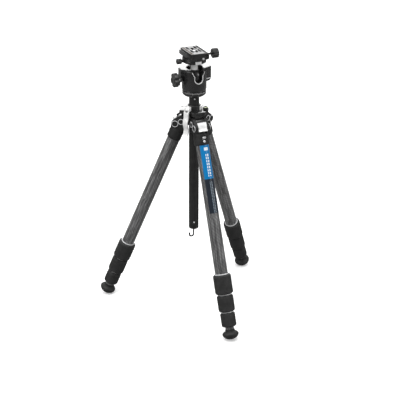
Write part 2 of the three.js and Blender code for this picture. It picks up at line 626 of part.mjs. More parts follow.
function clampJaw() {
  const { floor, tip, top, outer } = JAW_LIP;
  const { right } = JAW_OUTER;
  const split = JAW_SPLIT + GAP;
  const jaw = acrossY(outline([
    [split, CLAMP_BOTTOM], [right - 2, CLAMP_BOTTOM], [right, CLAMP_BOTTOM + 2], [right, outer],
    [right - 1, top], [15.4, top], [15.4, tip], [19.6, floor], [19.6, CLAMP_FLOOR],
    [split, CLAMP_FLOOR],
  ]), CLAMP_HALF);
  return carve(jaw, alongX(rod(1.9, 10, 30, 10)).translate(0, 0, SCREW_HEIGHT));
}

const clampKnob = () => gripKnob({
  radius: 10.7, lobes: 9, bite: 1.2, steps: 4, near: 41.6, far: 54.6, stem: 2.4, stemFrom: 22,
  shaft: 1.6, shaftFrom: -10,
}).translate(0, 0, SCREW_HEIGHT);

function cameraPlate() {
  const bottom = CLAMP_FLOOR + GAP;
  const { half, run, counterbore, counterboreTop } = PLATE_SLOT;
  const slab = acrossY(outline([
    [-19, bottom], [19, bottom], [19, bottom + 0.6], [14.8, JAW_LIP.tip - 0.2],
    [14.8, PLATE_SHOULDER], [PLATE_HALF_X, PLATE_SHOULDER], [PLATE_HALF_X, PLATE_TOP - 0.6],
    [PLATE_HALF_X - 0.6, PLATE_TOP], [-PLATE_HALF_X + 0.6, PLATE_TOP],
    [-PLATE_HALF_X, PLATE_TOP - 0.6],
    [-PLATE_HALF_X, PLATE_SHOULDER], [-14.8, PLATE_SHOULDER], [-14.8, JAW_LIP.tip - 0.2],
    [-19, bottom + 0.6],
  ]), PLATE_HALF_Y);
  const track = (radius, low, high) => {
    const shape = new THREE.Shape();
    shape.absarc(0, run, radius, 0, Math.PI, false);
    shape.absarc(0, -run, radius, Math.PI, Math.PI * 2, false);
    return flat(shape, high - low, 6).translate(0, 0, low);
  };
  return carve(slab,
    track(half, bottom - 1, PLATE_TOP + 1),
    track(counterbore, bottom - 1, counterboreTop));
}

function cameraScrew() {
  const { bottom, flange, head, radius } = CAMERA_SCREW;
  const top = PLATE_TOP - 0.4;
  return turned([[0, bottom], [head, bottom], [head, flange], [radius, flange], [radius, top],
    [0, top]], 16);
}

place(tripod, 'clamp_base', clampBase(), ANODISED);
place(tripod, 'clamp_pan_knob', clampPanKnob(), ANODISED);
place(tripod, 'clamp_body', clampBody(), ANODISED);
place(tripod, 'clamp_jaw', clampJaw(), ANODISED);
place(tripod, 'clamp_knob', clampKnob(), ANODISED);
place(tripod, 'camera_plate', cameraPlate(), ANODISED);
place(tripod, 'camera_screw', cameraScrew(), STEEL);

// ---------------------------------------------------------------- frame
// The origin goes to the floor, under the middle of the whole tripod.
tripod.updateMatrixWorld(true);
const box = new THREE.Box3().setFromObject(tripod, true);
const root = new THREE.Group();
tripod.position.set(-(box.min.x + box.max.x) / 2, -(box.min.y + box.max.y) / 2, -box.min.z);
root.add(tripod);

export default root;
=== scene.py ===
import json
import math

import bmesh
import bpy
from mathutils import Matrix, Vector


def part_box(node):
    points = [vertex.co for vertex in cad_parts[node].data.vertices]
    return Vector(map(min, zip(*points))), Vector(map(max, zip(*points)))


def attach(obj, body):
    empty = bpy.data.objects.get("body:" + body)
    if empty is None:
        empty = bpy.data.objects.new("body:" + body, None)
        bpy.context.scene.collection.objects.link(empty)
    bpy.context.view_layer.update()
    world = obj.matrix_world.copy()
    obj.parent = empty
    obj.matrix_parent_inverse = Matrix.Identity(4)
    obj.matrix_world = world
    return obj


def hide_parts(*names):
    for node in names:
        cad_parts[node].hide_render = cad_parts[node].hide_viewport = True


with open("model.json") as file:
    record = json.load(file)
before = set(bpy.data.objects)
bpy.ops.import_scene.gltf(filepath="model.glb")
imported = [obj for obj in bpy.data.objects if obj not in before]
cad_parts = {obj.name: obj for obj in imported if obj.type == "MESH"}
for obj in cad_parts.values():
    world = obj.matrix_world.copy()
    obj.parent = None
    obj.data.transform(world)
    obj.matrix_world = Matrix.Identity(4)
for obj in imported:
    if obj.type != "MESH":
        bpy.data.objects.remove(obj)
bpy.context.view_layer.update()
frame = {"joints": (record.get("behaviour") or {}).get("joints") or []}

scene = bpy.context.scene
joints = {joint["name"]: joint for joint in frame["joints"]}

# ---- frames
MM = 0.001
PLATE_TOP = 599.4
column_low, column_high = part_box("column_tube")
AXIS = Vector((
    (column_low.x + column_high.x) / 2,
    (column_low.y + column_high.y) / 2,
    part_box("camera_plate")[1].z - PLATE_TOP * MM))
UPRIGHT = Matrix.Translation(AXIS) @ Matrix.Scale(MM, 4)
ALONG_X = Matrix.Rotation(math.pi / 2, 4, "Y")
FORWARD = Matrix.Rotation(math.pi / 2, 4, "X")
BACKWARD = Matrix.Rotation(-math.pi / 2, 4, "X")
HALF_TURN = Matrix.Rotation(math.pi, 4, "Z")
LEG_AZIMUTHS = {"front": -90, "right": 30, "left": 150}


def leg_frame(side):
    """Hinge at the origin, X along the hinge, -Y outward, -Z down the leg."""
    hinge = joints[f"{side}_leg_hinge"]
    across = -Vector(hinge["axis"]).normalized()
    up = -Vector(joints[f"{side}_slide_2"]["axis"]).normalized()
    inward = up.cross(across)
    turn = Matrix((across, inward, up)).transposed().to_4x4()
    return Matrix.Translation(Vector(hinge["pos_m"])) @ turn @ Matrix.Scale(MM, 4)


# ---- camera, floor and light
CAMERA_AZIMUTH = -24.08
CAMERA_ELEVATION = 24.7
CAMERA_DISTANCE = 2.4701
LENS = 98.71
AIM_RIGHT = 14.1 * MM
AIM_HEIGHT = 249.6 * MM
CAMERA_ROLL = 0.36
FLOOR_SIZE = 28
LIGHT_TARGET = Vector((0, 0, 0.35))


def direction(azimuth, elevation):
    """Unit vector away from the tripod, with azimuth 0 at its front."""
    a = math.radians(azimuth)
    e = math.radians(elevation)
    return Vector((math.sin(a) * math.cos(e), -math.cos(a) * math.cos(e), math.sin(e)))


def placed(data, location, turn):
    """Adds a camera or a light to the scene."""
    thing = bpy.data.objects.new(data.name, data)
    scene.collection.objects.link(thing)
    thing.location = location
    thing.rotation_euler = turn.to_euler()
    return thing


def make_camera():
    back = direction(CAMERA_AZIMUTH, CAMERA_ELEVATION)
    right = direction(CAMERA_AZIMUTH + 90, 0)
    data = bpy.data.cameras.new("camera")
    data.sensor_width = 36
    data.lens = LENS
    data.clip_end = 50
    roll = Matrix.Rotation(math.radians(CAMERA_ROLL), 3, "Z")
    scene.camera = placed(
        data, AXIS + Vector((0, 0, AIM_HEIGHT)) + right * AIM_RIGHT + back * CAMERA_DISTANCE,
        back.to_track_quat("Z", "Y").to_matrix() @ roll)


def area_light(name, azimuth, elevation, distance, size, energy):
    """A soft rectangular light that faces the tripod from a direction seen from the tripod."""
    away = direction(azimuth, elevation)
    data = bpy.data.lights.new(name, "AREA")
    data.shape = "RECTANGLE"
    data.size, data.size_y = size
    data.energy = energy
    light = placed(data, LIGHT_TARGET + away * distance, away.to_track_quat("Z", "Y"))
    light.visible_camera = False


def by_ray(tree, socket, unseen, seen):
    """Gives a stage socket one value where the camera sees it and another as a light."""
    path = tree.nodes.new("ShaderNodeLightPath")
    shade = tree.nodes.new("ShaderNodeMapRange")
    shade.inputs["To Min"].default_value = unseen
    shade.inputs["To Max"].default_value = seen
    tree.links.new(path.outputs["Is Camera Ray"], shade.inputs["Value"])
    tree.links.new(shade.outputs["Result"], socket)


def make_stage():
    bpy.ops.mesh.primitive_plane_add(size=FLOOR_SIZE, location=(0, 0, 0))
    floor = bpy.context.active_object
    floor.name = "floor"
    paper = bpy.data.materials.new("floor_paper")
    paper.use_nodes = True
    shader = paper.node_tree.nodes["Principled BSDF"]
    shader.inputs["Roughness"].default_value = 0.9
    shader.inputs["Specular IOR Level"].default_value = 0.2
    shader.inputs["Emission Color"].default_value = (1, 1, 1, 1)
    by_ray(paper.node_tree, shader.inputs["Base Color"], 0.3, 0.93)
    by_ray(paper.node_tree, shader.inputs["Emission Strength"], 0.0, 0.3)
    floor.data.materials.append(paper)
    make_world()
    scene.view_settings.view_transform = "Standard"
    area_light("back_wall", 156, 22, 3.2, (3.2, 1.4), 62)
    area_light("key_left", -82, 38, 2.4, (0.9, 1.7), 34)
    area_light("strip_right", 44, 24, 2.4, (0.5, 1.8), 20)
    area_light("overhead", -20, 86, 2.8, (2.4, 2.4), 62)


def make_world():
    """White behind everything, but dimmer as a light, so that black parts stay black."""
    world = bpy.data.worlds.new("studio")
    world.use_nodes = True
    background = world.node_tree.nodes["Background"]
    background.inputs["Color"].default_value = (1, 1, 1, 1)
    by_ray(world.node_tree, background.inputs["Strength"], 0.22, 1.0)
    scene.world = world


# ---- mesh kit
ROUND = 72               # sides of a turned shape
CORNER_STEPS = 4
SHARP_ANGLE = math.radians(32)


def round_at(radius, angle):
    return radius * math.cos(angle), radius * math.sin(angle)


def mesh_object(verts, faces):
    mesh = bpy.data.meshes.new("shape")
    mesh.from_pydata([tuple(v) for v in verts], [], faces)
    bm = bmesh.new()
    bm.from_mesh(mesh)
    bmesh.ops.recalc_face_normals(bm, faces=bm.faces)
    bm.to_mesh(mesh)
    bm.free()
    shape = bpy.data.objects.new("shape", mesh)
    scene.collection.objects.link(shape)
    return shape


def eased(points, radius, closed=True):
    """A polyline with its corners rounded by arcs of about the given radius."""
    count = len(points)
    result = []
    for i, point in enumerate(points):
        here = Vector(point)
        at_end = not closed and i in (0, count - 1)
        before = Vector(points[i - 1]) - here
        after = Vector(points[(i + 1) % count]) - here
        reach = min(radius, 0.45 * before.length, 0.45 * after.length)
        if at_end or reach < 0.02 or before.angle(after) > math.radians(168):
            result.append(tuple(here))
            continue
        start = here + before.normalized() * reach
        end = here + after.normalized() * reach
        for k in range(CORNER_STEPS + 1):
            t = k / CORNER_STEPS
            result.append(tuple(start * (1 - t) ** 2 + here * 2 * t * (1 - t) + end * t ** 2))
    return result


def revolve(profile, ease=0.4, steps=ROUND, ring=False, shape_at=None):
    """A turned solid from (radius, height) points; shape_at can change a radius by angle."""
    points = eased(profile, ease, closed=ring)
    verts = []
    rows = []
    for r, z in points:
        if r < 1e-6:
            rows.append([len(verts)])
            verts.append((0, 0, z))
            continue
        rows.append(range(len(verts), len(verts) + steps))
        for i in range(steps):
            angle = 2 * math.pi * i / steps
            verts.append((*round_at(shape_at(r, z, angle) if shape_at else r, angle), z))
    faces = []
    for low, high in zip(rows, rows[1:] + (rows[:1] if ring else [])):
        if len(low) == len(high) == 1:
            continue
        for i in range(steps):
            j = (i + 1) % steps
            if len(low) == 1:
                faces.append((low[0], high[j], high[i]))
            elif len(high) == 1:
                faces.append((low[i], low[j], high[0]))
            else:
                faces.append((low[i], low[j], high[j], high[i]))
    return mesh_object(verts, faces)


def disc(radius, low, high, ease=0.3, steps=ROUND):
    return revolve([(0, low), (radius, low), (radius, high), (0, high)], ease, steps)


def pipe(inner, outer, low, high, ease=0.3, steps=ROUND):
    return revolve([(inner, low), (outer, low), (outer, high), (inner, high)], ease, steps, ring=True)


def raised(height, *profile):
    """A turned profile lifted by a height."""
    return [(r, height + z) for r, z in profile]


def both_ends(*profile):
    """A turned profile with its lower half mirrored from the upper half."""
    return [(r, -z) for r, z in profile] + list(reversed(profile))


def inset(points, amount):
    """A closed outline moved inward by an amount."""
    area = sum(p[0] * q[1] - q[0] * p[1] for p, q in zip(points, points[1:] + points[:1]))
    turn = 1 if area > 0 else -1
    moved = []
    for i, point in enumerate(points):
        here = Vector(point)
        one = (here - Vector(points[i - 1])).normalized()
        two = (Vector(points[(i + 1) % len(points)]) - here).normalized()
        normal = Vector((-one.y - two.y, one.x + two.x)) * turn
        scale = amount / max(0.35, 1 + one.dot(two))
        moved.append(tuple(here + normal * scale))
    return moved


def skinned(verts, count):
    """A closed solid through stacked loops of the same number of points."""
    faces = [tuple(range(count)), tuple(range(len(verts) - count, len(verts)))]
    for base in range(0, len(verts) - count, count):
        for i in range(count):
            j = (i + 1) % count
            faces.append((base + i, base + j, base + count + j, base + count + i))
    return mesh_object(verts, faces)


def prism(points, low, high, ease=0.4, steps=3):
    """An outline pushed along Z, with rounded rims."""
    layers = []
    for k in range(steps + 1):
        turn = k / steps * math.pi / 2
        layers.append((ease * (1 - math.sin(turn)), low + ease * (1 - math.cos(turn))))
    layers += [(away, low + high - z) for away, z in reversed(layers)]
    if ease == 0:
        layers = [(0, low), (0, high)]
    verts = []
    for away, z in layers:
        verts += [(x, y, z) for x, y in (inset(points, away) if away else points)]
    return skinned(verts, len(points))


def block(x0, x1, y0, y1, z0, z1, ease=0.0):
    return prism([(x0, y0), (x1, y0), (x1, y1), (x0, y1)], z0, z1, ease)


def turned_by(shape, matrix):
    shape.data.transform(matrix)
    return shape


def sideways(points, half, ease=0.4):
    """An outline in the YZ plane pushed along X, from -half to +half."""
    cycle = Matrix(((0, 0, 1, 0), (1, 0, 0, 0), (0, 1, 0, 0), (0, 0, 0, 1)))
    return turned_by(prism(points, -half, half, ease), cycle)


def across_y(points, half, ease=0.4):
    """An outline in the XZ plane pushed along Y, from -half to +half."""
    return turned_by(prism(points, -half, half, ease), FORWARD)


def along_x(shape, at=(0, 0, 0)):
    return turned_by(shape, Matrix.Translation(at) @ ALONG_X)


def moved(shape, *at):
    return turned_by(shape, Matrix.Translation(at))


def arc(centre, radius, start, end, steps=12):
    """Points on an arc, in degrees."""
    points = []
    for i in range(steps + 1):
        x, y = round_at(radius, math.radians(start + (end - start) * i / steps))
        points.append((centre[0] + x, centre[1] + y))
    return points


def rectangle(half_x, half_y):
    return [(-half_x, -half_y), (half_x, -half_y), (half_x, half_y), (-half_x, half_y)]


def stadium(half, run, axis="x"):
    """A slot outline with round ends."""
    points = arc((run, 0), half, -90, 90) + arc((-run, 0), half, 90, 270)
    return points if axis == "x" else [(-y, x) for x, y in points]


def sweep(path, radius, sides=20):
    """A round wire along a path, with domed ends."""
    points = [Vector(p) for p in path]
    behind = points[:1] + points[:-1]
    ahead = points[1:] + points[-1:]
    runs = [(b - a).normalized() for a, b in zip(behind, ahead)]
    side = runs[0].orthogonal().normalized()
    rings = []
    for point, run in zip(points, runs):
        side = (side - run * side.dot(run)).normalized()
        rings.append((point, side.copy(), run.cross(side), run))
    verts = []
    layers = [(rings[0], -radius * math.cos(t), radius * math.sin(t)) for t in (0.5, 1.0)]
    layers += [(one, 0, radius) for one in rings]
    layers += [(rings[-1], radius * math.cos(t), radius * math.sin(t)) for t in (1.0, 0.5)]
    for (point, one, two, run), past, reach in layers:
        for k in range(sides):
            angle = 2 * math.pi * k / sides
            verts.append(point + run * past + one * reach * math.cos(angle)
                         + two * reach * math.sin(angle))
    return skinned(verts, sides)


def smooth_path(points, per_span):
    """Points on a Catmull-Rom curve through the given ones."""
    nodes = [Vector(p) for p in points]
    nodes = [nodes[0] * 2 - nodes[1], *nodes, nodes[-1] * 2 - nodes[-2]]
    result = []
    for a, b, c, d in zip(nodes, nodes[1:], nodes[2:], nodes[3:]):
        for k in range(per_span):
            t = k / per_span
            result.append(0.5 * (2 * b + (c - a) * t + (2 * a - 5 * b + 4 * c - d) * t ** 2
                                 + (3 * b - a - 3 * c + d) * t ** 3))
    result.append(nodes[-2])
    return result


def combine(body, tool, operation):
    modifier = body.modifiers.new("join", "BOOLEAN")
    modifier.object = tool
    modifier.operation = operation
    modifier.solver = "MANIFOLD"
    bpy.context.view_layer.update()
    evaluated = body.evaluated_get(bpy.context.evaluated_depsgraph_get())
    mesh = bpy.data.meshes.new_from_object(evaluated)
    body.modifiers.clear()
    body.data = mesh
    bpy.data.objects.remove(tool)
    return body


def cut(body, *tools):
    for tool in tools:
        combine(body, tool, "DIFFERENCE")
    return body


def fuse(body, *tools):
    for tool in tools:
        combine(body, tool, "UNION")
    return body


def common(body, tool):
    return combine(body, tool, "INTERSECT")


def lobed(radius, depth, lobes, steps):
    """A round outline with scalloped grip lobes."""
    points = []
    for i in range(lobes * steps):
        angle = 2 * math.pi * i / (lobes * steps)
        bite = max(0.0, -math.cos(angle * lobes)) ** 1.5
        points.append(round_at(radius - depth * bite, angle))
    return points


def hexagon(across):
    return [round_at(across / math.sqrt(3), k * math.pi / 3) for k in range(6)]


def piece(shape, name, look, body, node=None, place=UPRIGHT):
    """Puts a finished shape in the row frame and makes it ride on its body."""
    mesh = shape.data
    local = mesh.attributes.new("local", "FLOAT_VECTOR", "POINT")
    flat = [0.0] * (3 * len(mesh.vertices))
    mesh.vertices.foreach_get("co", flat)
    local.data.foreach_set("vector", flat)
    mesh.transform(place)
    mesh.shade_smooth()
    mesh.set_sharp_from_angle(angle=SHARP_ANGLE)
    mesh.materials.clear()
    mesh.materials.append(LOOKS[look])
    shape.name = name
    mesh.name = name
    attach(shape, body)
    if node:
        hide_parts(node)
    return shape


# ---- materials
class Look:
    """A procedural material that is laid out in a piece's own millimetres."""

    def __init__(self, name, **fixed):
        self.material = bpy.data.materials.new(name)
        self.material.use_nodes = True
        self.tree = self.material.node_tree
        self.shader = self.tree.nodes["Principled BSDF"]
        for socket, value in fixed.items():
            self.shader.inputs[socket.replace("_", " ")].default_value = value
        self.local = self.add("Attribute", attribute_name="local").outputs["Vector"]

    def feed(self, socket, value):
        if isinstance(value, bpy.types.NodeSocket):
            self.tree.links.new(value, socket)
        else:
            socket.default_value = value

    def add(self, kind, sockets=None, **settings):
        node = self.tree.nodes.new("ShaderNode" + kind)
        for key, value in settings.items():
            setattr(node, key, value)
        for key, value in (sockets or {}).items():
            self.feed(node.inputs[key], value)
        return node

    def math(self, operation, *values):
        return self.add("Math", dict(enumerate(values)), operation=operation).outputs[0]

    def stretched(self, x, y, z):
        return self.add("Mapping", {"Vector": self.local, "Scale": (x, y, z)}).outputs["Vector"]

    def noise(self, vector, scale, detail=3.0, distortion=0.0):
        return self.add("TexNoise", {"Vector": vector, "Scale": scale, "Detail": detail,
                                     "Distortion": distortion}).outputs["Fac"]

    def ramp(self, factor, *stops):
        node = self.add("ValToRGB", {"Fac": factor})
        elements = node.color_ramp.elements
        while len(elements) < len(stops):
            elements.new(0.5)
        for element, (place, shade) in zip(elements, stops):
            element.position = place
            element.color = (*shade, 1) if isinstance(shade, tuple) else (shade, shade, shade, 1)
        return node.outputs["Color"]

    def between(self, factor, low, high):
        return self.add("MapRange", {"Value": factor, "From Min": 0.3, "From Max": 0.7,
                                     "To Min": low, "To Max": high}).outputs[0]

    def mix(self, factor, one, two, blend="MIX"):
        sockets = {0: factor, 6: one, 7: two}
        return self.add("Mix", sockets, data_type="RGBA", blend_type=blend).outputs[2]

    def bump(self, height, strength):
        bump = self.add("Bump", {"Height": height, "Strength": strength, "Distance": 0.0002})
        self.link("Normal", bump.outputs["Normal"])

    def link(self, name, value):
        self.feed(self.shader.inputs[name], value)

    def polar(self):
        """Angle round Z from 0 to 1 and height in millimetres."""
        split = self.add("SeparateXYZ", {"Vector": self.local})
        angle = self.math("ARCTAN2", split.outputs["Y"], split.outputs["X"])
        turn = self.math("ADD", self.math("DIVIDE", angle, 2 * math.pi), 0.5)
        return turn, split.outputs["Z"]


def carbon_look():
    look = Look("carbon_fibre", Roughness=0.4, Coat_Weight=0.35, Coat_Roughness=0.22)
    turn, height = look.polar()
    tow = 2.0
    column = look.math("FLOOR", look.math("MULTIPLY", turn, 44.0))
    row = look.math("FLOOR", look.math("DIVIDE", height, tow))
    step = look.math("ADD", look.math("ADD", column, row), 4000.0)
    over = look.math("LESS_THAN", look.math("MODULO", step, 4.0), 2.0)
    wander = look.noise(look.stretched(0.015, 0.015, 0.028), 1.0, 1.0)
    shift = look.add("CombineXYZ", {"X": look.between(wander, -0.5, 0.5),
                                    "Y": look.between(wander, 0.5, -0.5)}).outputs[0]
    bent = look.add("VectorMath", {0: look.stretched(0.34, 0.34, 0.02), 1: shift}).outputs[0]
    streaks = look.noise(bent, 1.0, 2.0, 0.0)
    fibres = look.noise(look.stretched(2.2, 2.2, 0.12), 1.0, 4.0)
    base = look.ramp(streaks, (0.36, 0.06), (0.5, 0.12), (0.66, 0.24))
    fine = look.ramp(fibres, (0.3, 0.62), (0.7, 1.25))
    woven = look.mix(over, (0.86, 0.86, 0.87, 1), (1.1, 1.1, 1.1, 1))
    colour = look.mix(1.0, look.mix(1.0, base, fine, "MULTIPLY"), woven, "MULTIPLY")
    look.link("Base Color", colour)
    look.link("Roughness", look.between(streaks, 0.5, 0.33))
    look.bump(look.math("ADD", look.math("MULTIPLY", over, 0.25), fibres), 0.25)
    return look.material


def moulded_look(name, dark, light, rough, grain, strength, shine=0.5):
    """Moulded rubber or plastic: a fine pebble grain and slight wear."""
    look = Look(name, Specular_IOR_Level=shine)
    pebble = look.noise(look.local, grain, 5.0)
    dust = look.noise(look.local, 0.09, 4.0, 0.4)
    look.link("Base Color", look.ramp(dust, (0.35, dark), (0.65, light)))
    look.link("Roughness", look.between(pebble, rough - 0.07, rough + 0.07))
    look.bump(pebble, strength)
    return look.material


def blasted_look(name, dark, light, rough, strength, coat=0.0):
    """Bead-blasted and anodised metal."""
    look = Look(name, Coat_Weight=coat, Coat_Roughness=0.16)
    speck = look.noise(look.local, 3.6, 4.0)
    cloud = look.noise(look.local, 0.06, 3.0, 0.6)
    look.link("Base Color", look.ramp(cloud, (0.35, dark), (0.65, light)))
    look.link("Roughness", look.between(speck, rough - 0.05, rough + 0.05))
    look.bump(speck, strength)
    return look.material


def turned_look(name, dark, light, rough, metallic):
    """Bright metal with the fine rings that turning leaves."""
    look = Look(name, Metallic=metallic)
    rings = look.noise(look.stretched(0.25, 0.25, 7.0), 1.0, 3.0)
    cloud = look.noise(look.local, 0.12, 3.0, 0.5)
    tones = ((0.3, dark), (0.7, light))
    tone = look.mix(0.35, look.ramp(cloud, *tones), look.ramp(rings, *tones))
    look.link("Base Color", tone)
    look.link("Roughness", look.between(rings, rough - 0.06, rough + 0.08))
    look.bump(rings, 0.08)
    return look.material


def decal_look():
    """An azure badge with plain pale marks over a dark panel with rows of small lights."""
    look = Look("leg_badge", Roughness=0.38, Specular_IOR_Level=0.3, Coat_Weight=0.2, Coat_Roughness=0.15)
    turn, height = look.polar()
    around = look.math("MULTIPLY", look.math("SUBTRACT", turn, BADGE_MIDDLE), 360.0)

    def near(value, middle, half):
        return look.math("LESS_THAN", look.math("ABSOLUTE", look.math("SUBTRACT", value, middle)), half)

    def repeated(pitch, half):
        return near(look.math("FRACT", look.math("DIVIDE", height, pitch)), 0.5, half)

    def both(one, two):
        return look.math("MULTIPLY", one, two)

    cloud = look.noise(look.stretched(0.3, 0.3, 0.05), 1.0)
    blue = look.mix(cloud, (0.0, 0.17, 0.44, 1), (0.0, 0.22, 0.54, 1))
    dark = look.mix(cloud, (0.008, 0.012, 0.02, 1), (0.02, 0.028, 0.04, 1))
    ground = look.mix(look.math("LESS_THAN", height, BADGE_SPLIT), blue, dark)
    top_bar = both(near(height, BADGE_TOP - 11.5, 3.2), near(around, 0.0, 20.0))
    bars = both(repeated(6.6, 0.36), near(around, 0.0, 15.0))
    bars = both(bars, look.math("LESS_THAN", height, BADGE_TOP - 21.0))
    bars = both(bars, look.math("GREATER_THAN", height, BADGE_SPLIT + 5.5))
    bars = both(bars, look.math("SUBTRACT", 1.0, near(around, -3.0, 4.0)))
    dots = both(repeated(3.3, 0.27), near(look.math("ABSOLUTE", around), 9.0, 3.4))
    dots = both(dots, look.math("LESS_THAN", height, BADGE_SPLIT - 6.0))
    marked = look.mix(look.math("MAXIMUM", top_bar, bars), ground, (0.8, 0.88, 0.95, 1))
    look.link("Base Color", look.mix(dots, marked, (0.3, 0.38, 0.45, 1)))
    look.bump(look.noise(look.local, 2.0, 3.0), 0.05)
    return look.material


def glass_look():
    look = Look("level_liquid", Roughness=0.05, Transmission_Weight=0.75, IOR=1.36)
    tint = look.noise(look.local, 0.5)
    look.link("Base Color", look.mix(tint, (0.62, 0.8, 0.2, 1), (0.75, 0.9, 0.35, 1)))
    return look.material


BADGE_MIDDLE = (-90 + 8 + 180) / 360      # turn fraction at the middle of the badge
BADGE_TOP = -44.5
BADGE_SPLIT = -121
BADGE_BOTTOM = -196
BADGE_HALF = 55

LOOKS = {
    "carbon": carbon_look(),
    "grip": moulded_look("grip_rubber", 0.018, 0.03, 0.62, 1.2, 0.4, shine=0.35),
    "foot": moulded_look("foot_rubber", 0.014, 0.024, 0.55, 1.0, 0.3, shine=0.35),
    "gloss": blasted_look("anodised_gloss", 0.008, 0.015, 0.27, 0.06, 0.4),
    "anodised": blasted_look("anodised_black", 0.01, 0.018, 0.36, 0.12, 0.2),
    "matte": moulded_look("matte_black", 0.012, 0.02, 0.5, 2.6, 0.2, shine=0.35),
    "plastic": moulded_look("bush_plastic", 0.014, 0.022, 0.45, 2.0, 0.15),
    "silver": turned_look("satin_silver", (0.88, 0.88, 0.88), (0.97, 0.97, 0.96), 0.32, 0.05),
    "steel": turned_look("bright_steel", (0.8, 0.81, 0.82), (0.94, 0.94, 0.95), 0.25, 0.15),
    "paint": moulded_look("mark_paint", 0.55, 0.75, 0.5, 2.0, 0.1),
    "plate": blasted_look("plate_black", 0.012, 0.02, 0.34, 0.1),
    # the left plate strip is coloured a lighter brown-grey than its dark twin on the right
    "left_strip_tone": moulded_look("plate_strip", (0.10, 0.085, 0.075), (0.17, 0.15, 0.135), 0.9, 1.6, 0.5, 0.1),
    "strip": moulded_look("plate_rubber", 0.02, 0.034, 0.9, 1.6, 0.5, 0.1),
    "badge": decal_look(),
    "vial": glass_look(),
}

# ---- legs
GAP = 0.3
TUBE_RADIUS = 14
WALL = 1.2
STEP_IN = WALL + GAP
TUBE_TOPS = (27.3, 55, 60, 65)
LOCKS = ((332, 374.8, 19.8), (377.6, 413.6, 18.2), (416.4, 447.2, 16.4))
LOCK_GRIP = 8
TUBE_4_END = 453
FOOT_CENTRE = 463.6
FOOT_RADIUS = 18
FOOT_DOME = 12.6
SHOULDER_END = 47
EAR_IN = 10.4
EAR_OUT = 16.4
EAR_RADIUS = 13
AXLE_RADIUS = 3
TAB_Y, TAB_Z, TAB_PIN = -10.5, -9.8, 2.5


def knurled(count, depth, low, high, pitch):
    """Crossing diagonal grooves between two heights, fading out at both ends."""
    def reach(r, z, angle):
        fade = min(1.0, max(0.0, (z - low) / 1.5)) * min(1.0, max(0.0, (high - z) / 1.5))
        one = abs(math.sin((count * angle + 2 * math.pi * z / pitch) / 2))
        two = abs(math.sin((count * angle - 2 * math.pi * z / pitch) / 2))
        groove = max(0.0, 1 - min(one, two) / 0.55)
        return r - depth * fade * groove
    return reach


def shoulder():
    flat_in = TUBE_RADIUS + 1
    side = [(flat_in, -SHOULDER_END + 8), (flat_in, -24)] \
        + arc((0, 0), EAR_RADIUS, -28, 150, 24) \
        + arc((TAB_Y, TAB_Z), 8.4, 150, 215, 10) \
        + [(-16.6, -24), (-16.6, -SHOULDER_END + 8)]
    head = sideways(side, EAR_OUT, 0.9)
    common(head, fuse(
        disc(EAR_OUT, -26, 20, 0),
        block(-EAR_OUT - 1, EAR_OUT + 1, -20, EAR_RADIUS + 1, -19, 20)))
    socket = revolve([(0, -21), (EAR_OUT - 1, -21), (16.6, -25), (16.6, -SHOULDER_END + 2),
                      (15.6, -SHOULDER_END), (0, -SHOULDER_END)], 0.8)
    fuse(head, socket)
    window = turned_by(prism(stadium(4.2, 5.2, "y"), 0, 6, 0), FORWARD)
    return cut(
        head,
        block(-EAR_IN, EAR_IN, -30, 30, -22.5, 30),
        disc(TUBE_RADIUS + 0.1, -SHOULDER_END - 1, -27, 0),
        block(-30, 30, flat_in, 30, -SHOULDER_END - 1, -10),
        along_x(disc(AXLE_RADIUS + GAP, -30, 30, 0, 32)),
        along_x(disc(TAB_PIN + GAP, -30, 30, 0, 32), (0, TAB_Y, TAB_Z)),
        moved(window, 0, -14.6, -34))


def coil(radius, wire, low, high, turns):
    steps = 18 * turns
    path = []
    for i in range(steps + 1):
        path.append((*round_at(radius, 2 * math.pi * i / 18), low + (high - low) * i / steps))
    return sweep(path, wire, 8)


def pivot_bolt():
    face = EAR_OUT + GAP
    bolt = revolve(both_ends((0, face + 2), (5.4, face + 2), (6.4, face + 1.2), (6.4, face),
                             (AXLE_RADIUS, face)), 0.35, 48)
    cut(bolt, prism(hexagon(4), face, face + 3, 0), prism(hexagon(4), -face - 3, -face, 0))
    return along_x(bolt)


def rims(inner, outer, low, thick):
    """A bright steel ring on the heads at both ends of a cross pin, a painted highlight on the heads' edges.
    """
    return along_x(fuse(*(pipe(inner, outer, z, z + thick, 0.2, 48) for z in (low, -low - thick))))


def angle_tab():
    """The thumb tab with grip ridges across it."""
    outer = smooth_path([(-16.4, 1), (-17.9, -4), (-18, -9), (-17.6, -14.2), (-19.2, -16.6),
                         (-19.4, -18.2)], 4)
    inner = smooth_path([(-15.2, -19), (-11.6, -17.5), (-8.9, -13), (-9.9, -7.3), (-12.2, -2),
                         (-13.2, 1)], 4)
    tab = sideways(outer + inner, EAR_IN - GAP, 0.7)
    for k in range(4):
        z = -4.4 - 2.3 * k
        cut(tab, along_x(disc(0.55, -7.6, 7.6, 0, 16), (0, -18.1, z)))
    return tab


def tab_pin():
    """The tab's hinge pin with its round end caps."""
    face = EAR_OUT + GAP
    pin = revolve(both_ends((0, face + 1.5), (6.2, face + 1.5), (7.2, face + 0.7), (7.2, face),
                            (TAB_PIN, face)), 0.35, 48)
    for low, high in ((face + 0.7, face + 3), (-face - 3, -face - 0.7)):
        cut(pin, disc(3.6, low, high, 0, 32))
    return along_x(pin, (0, TAB_Y, TAB_Z))


def tube(radius, top, end):
    return pipe(radius - WALL, radius, -end, -top, 0.25, 96)


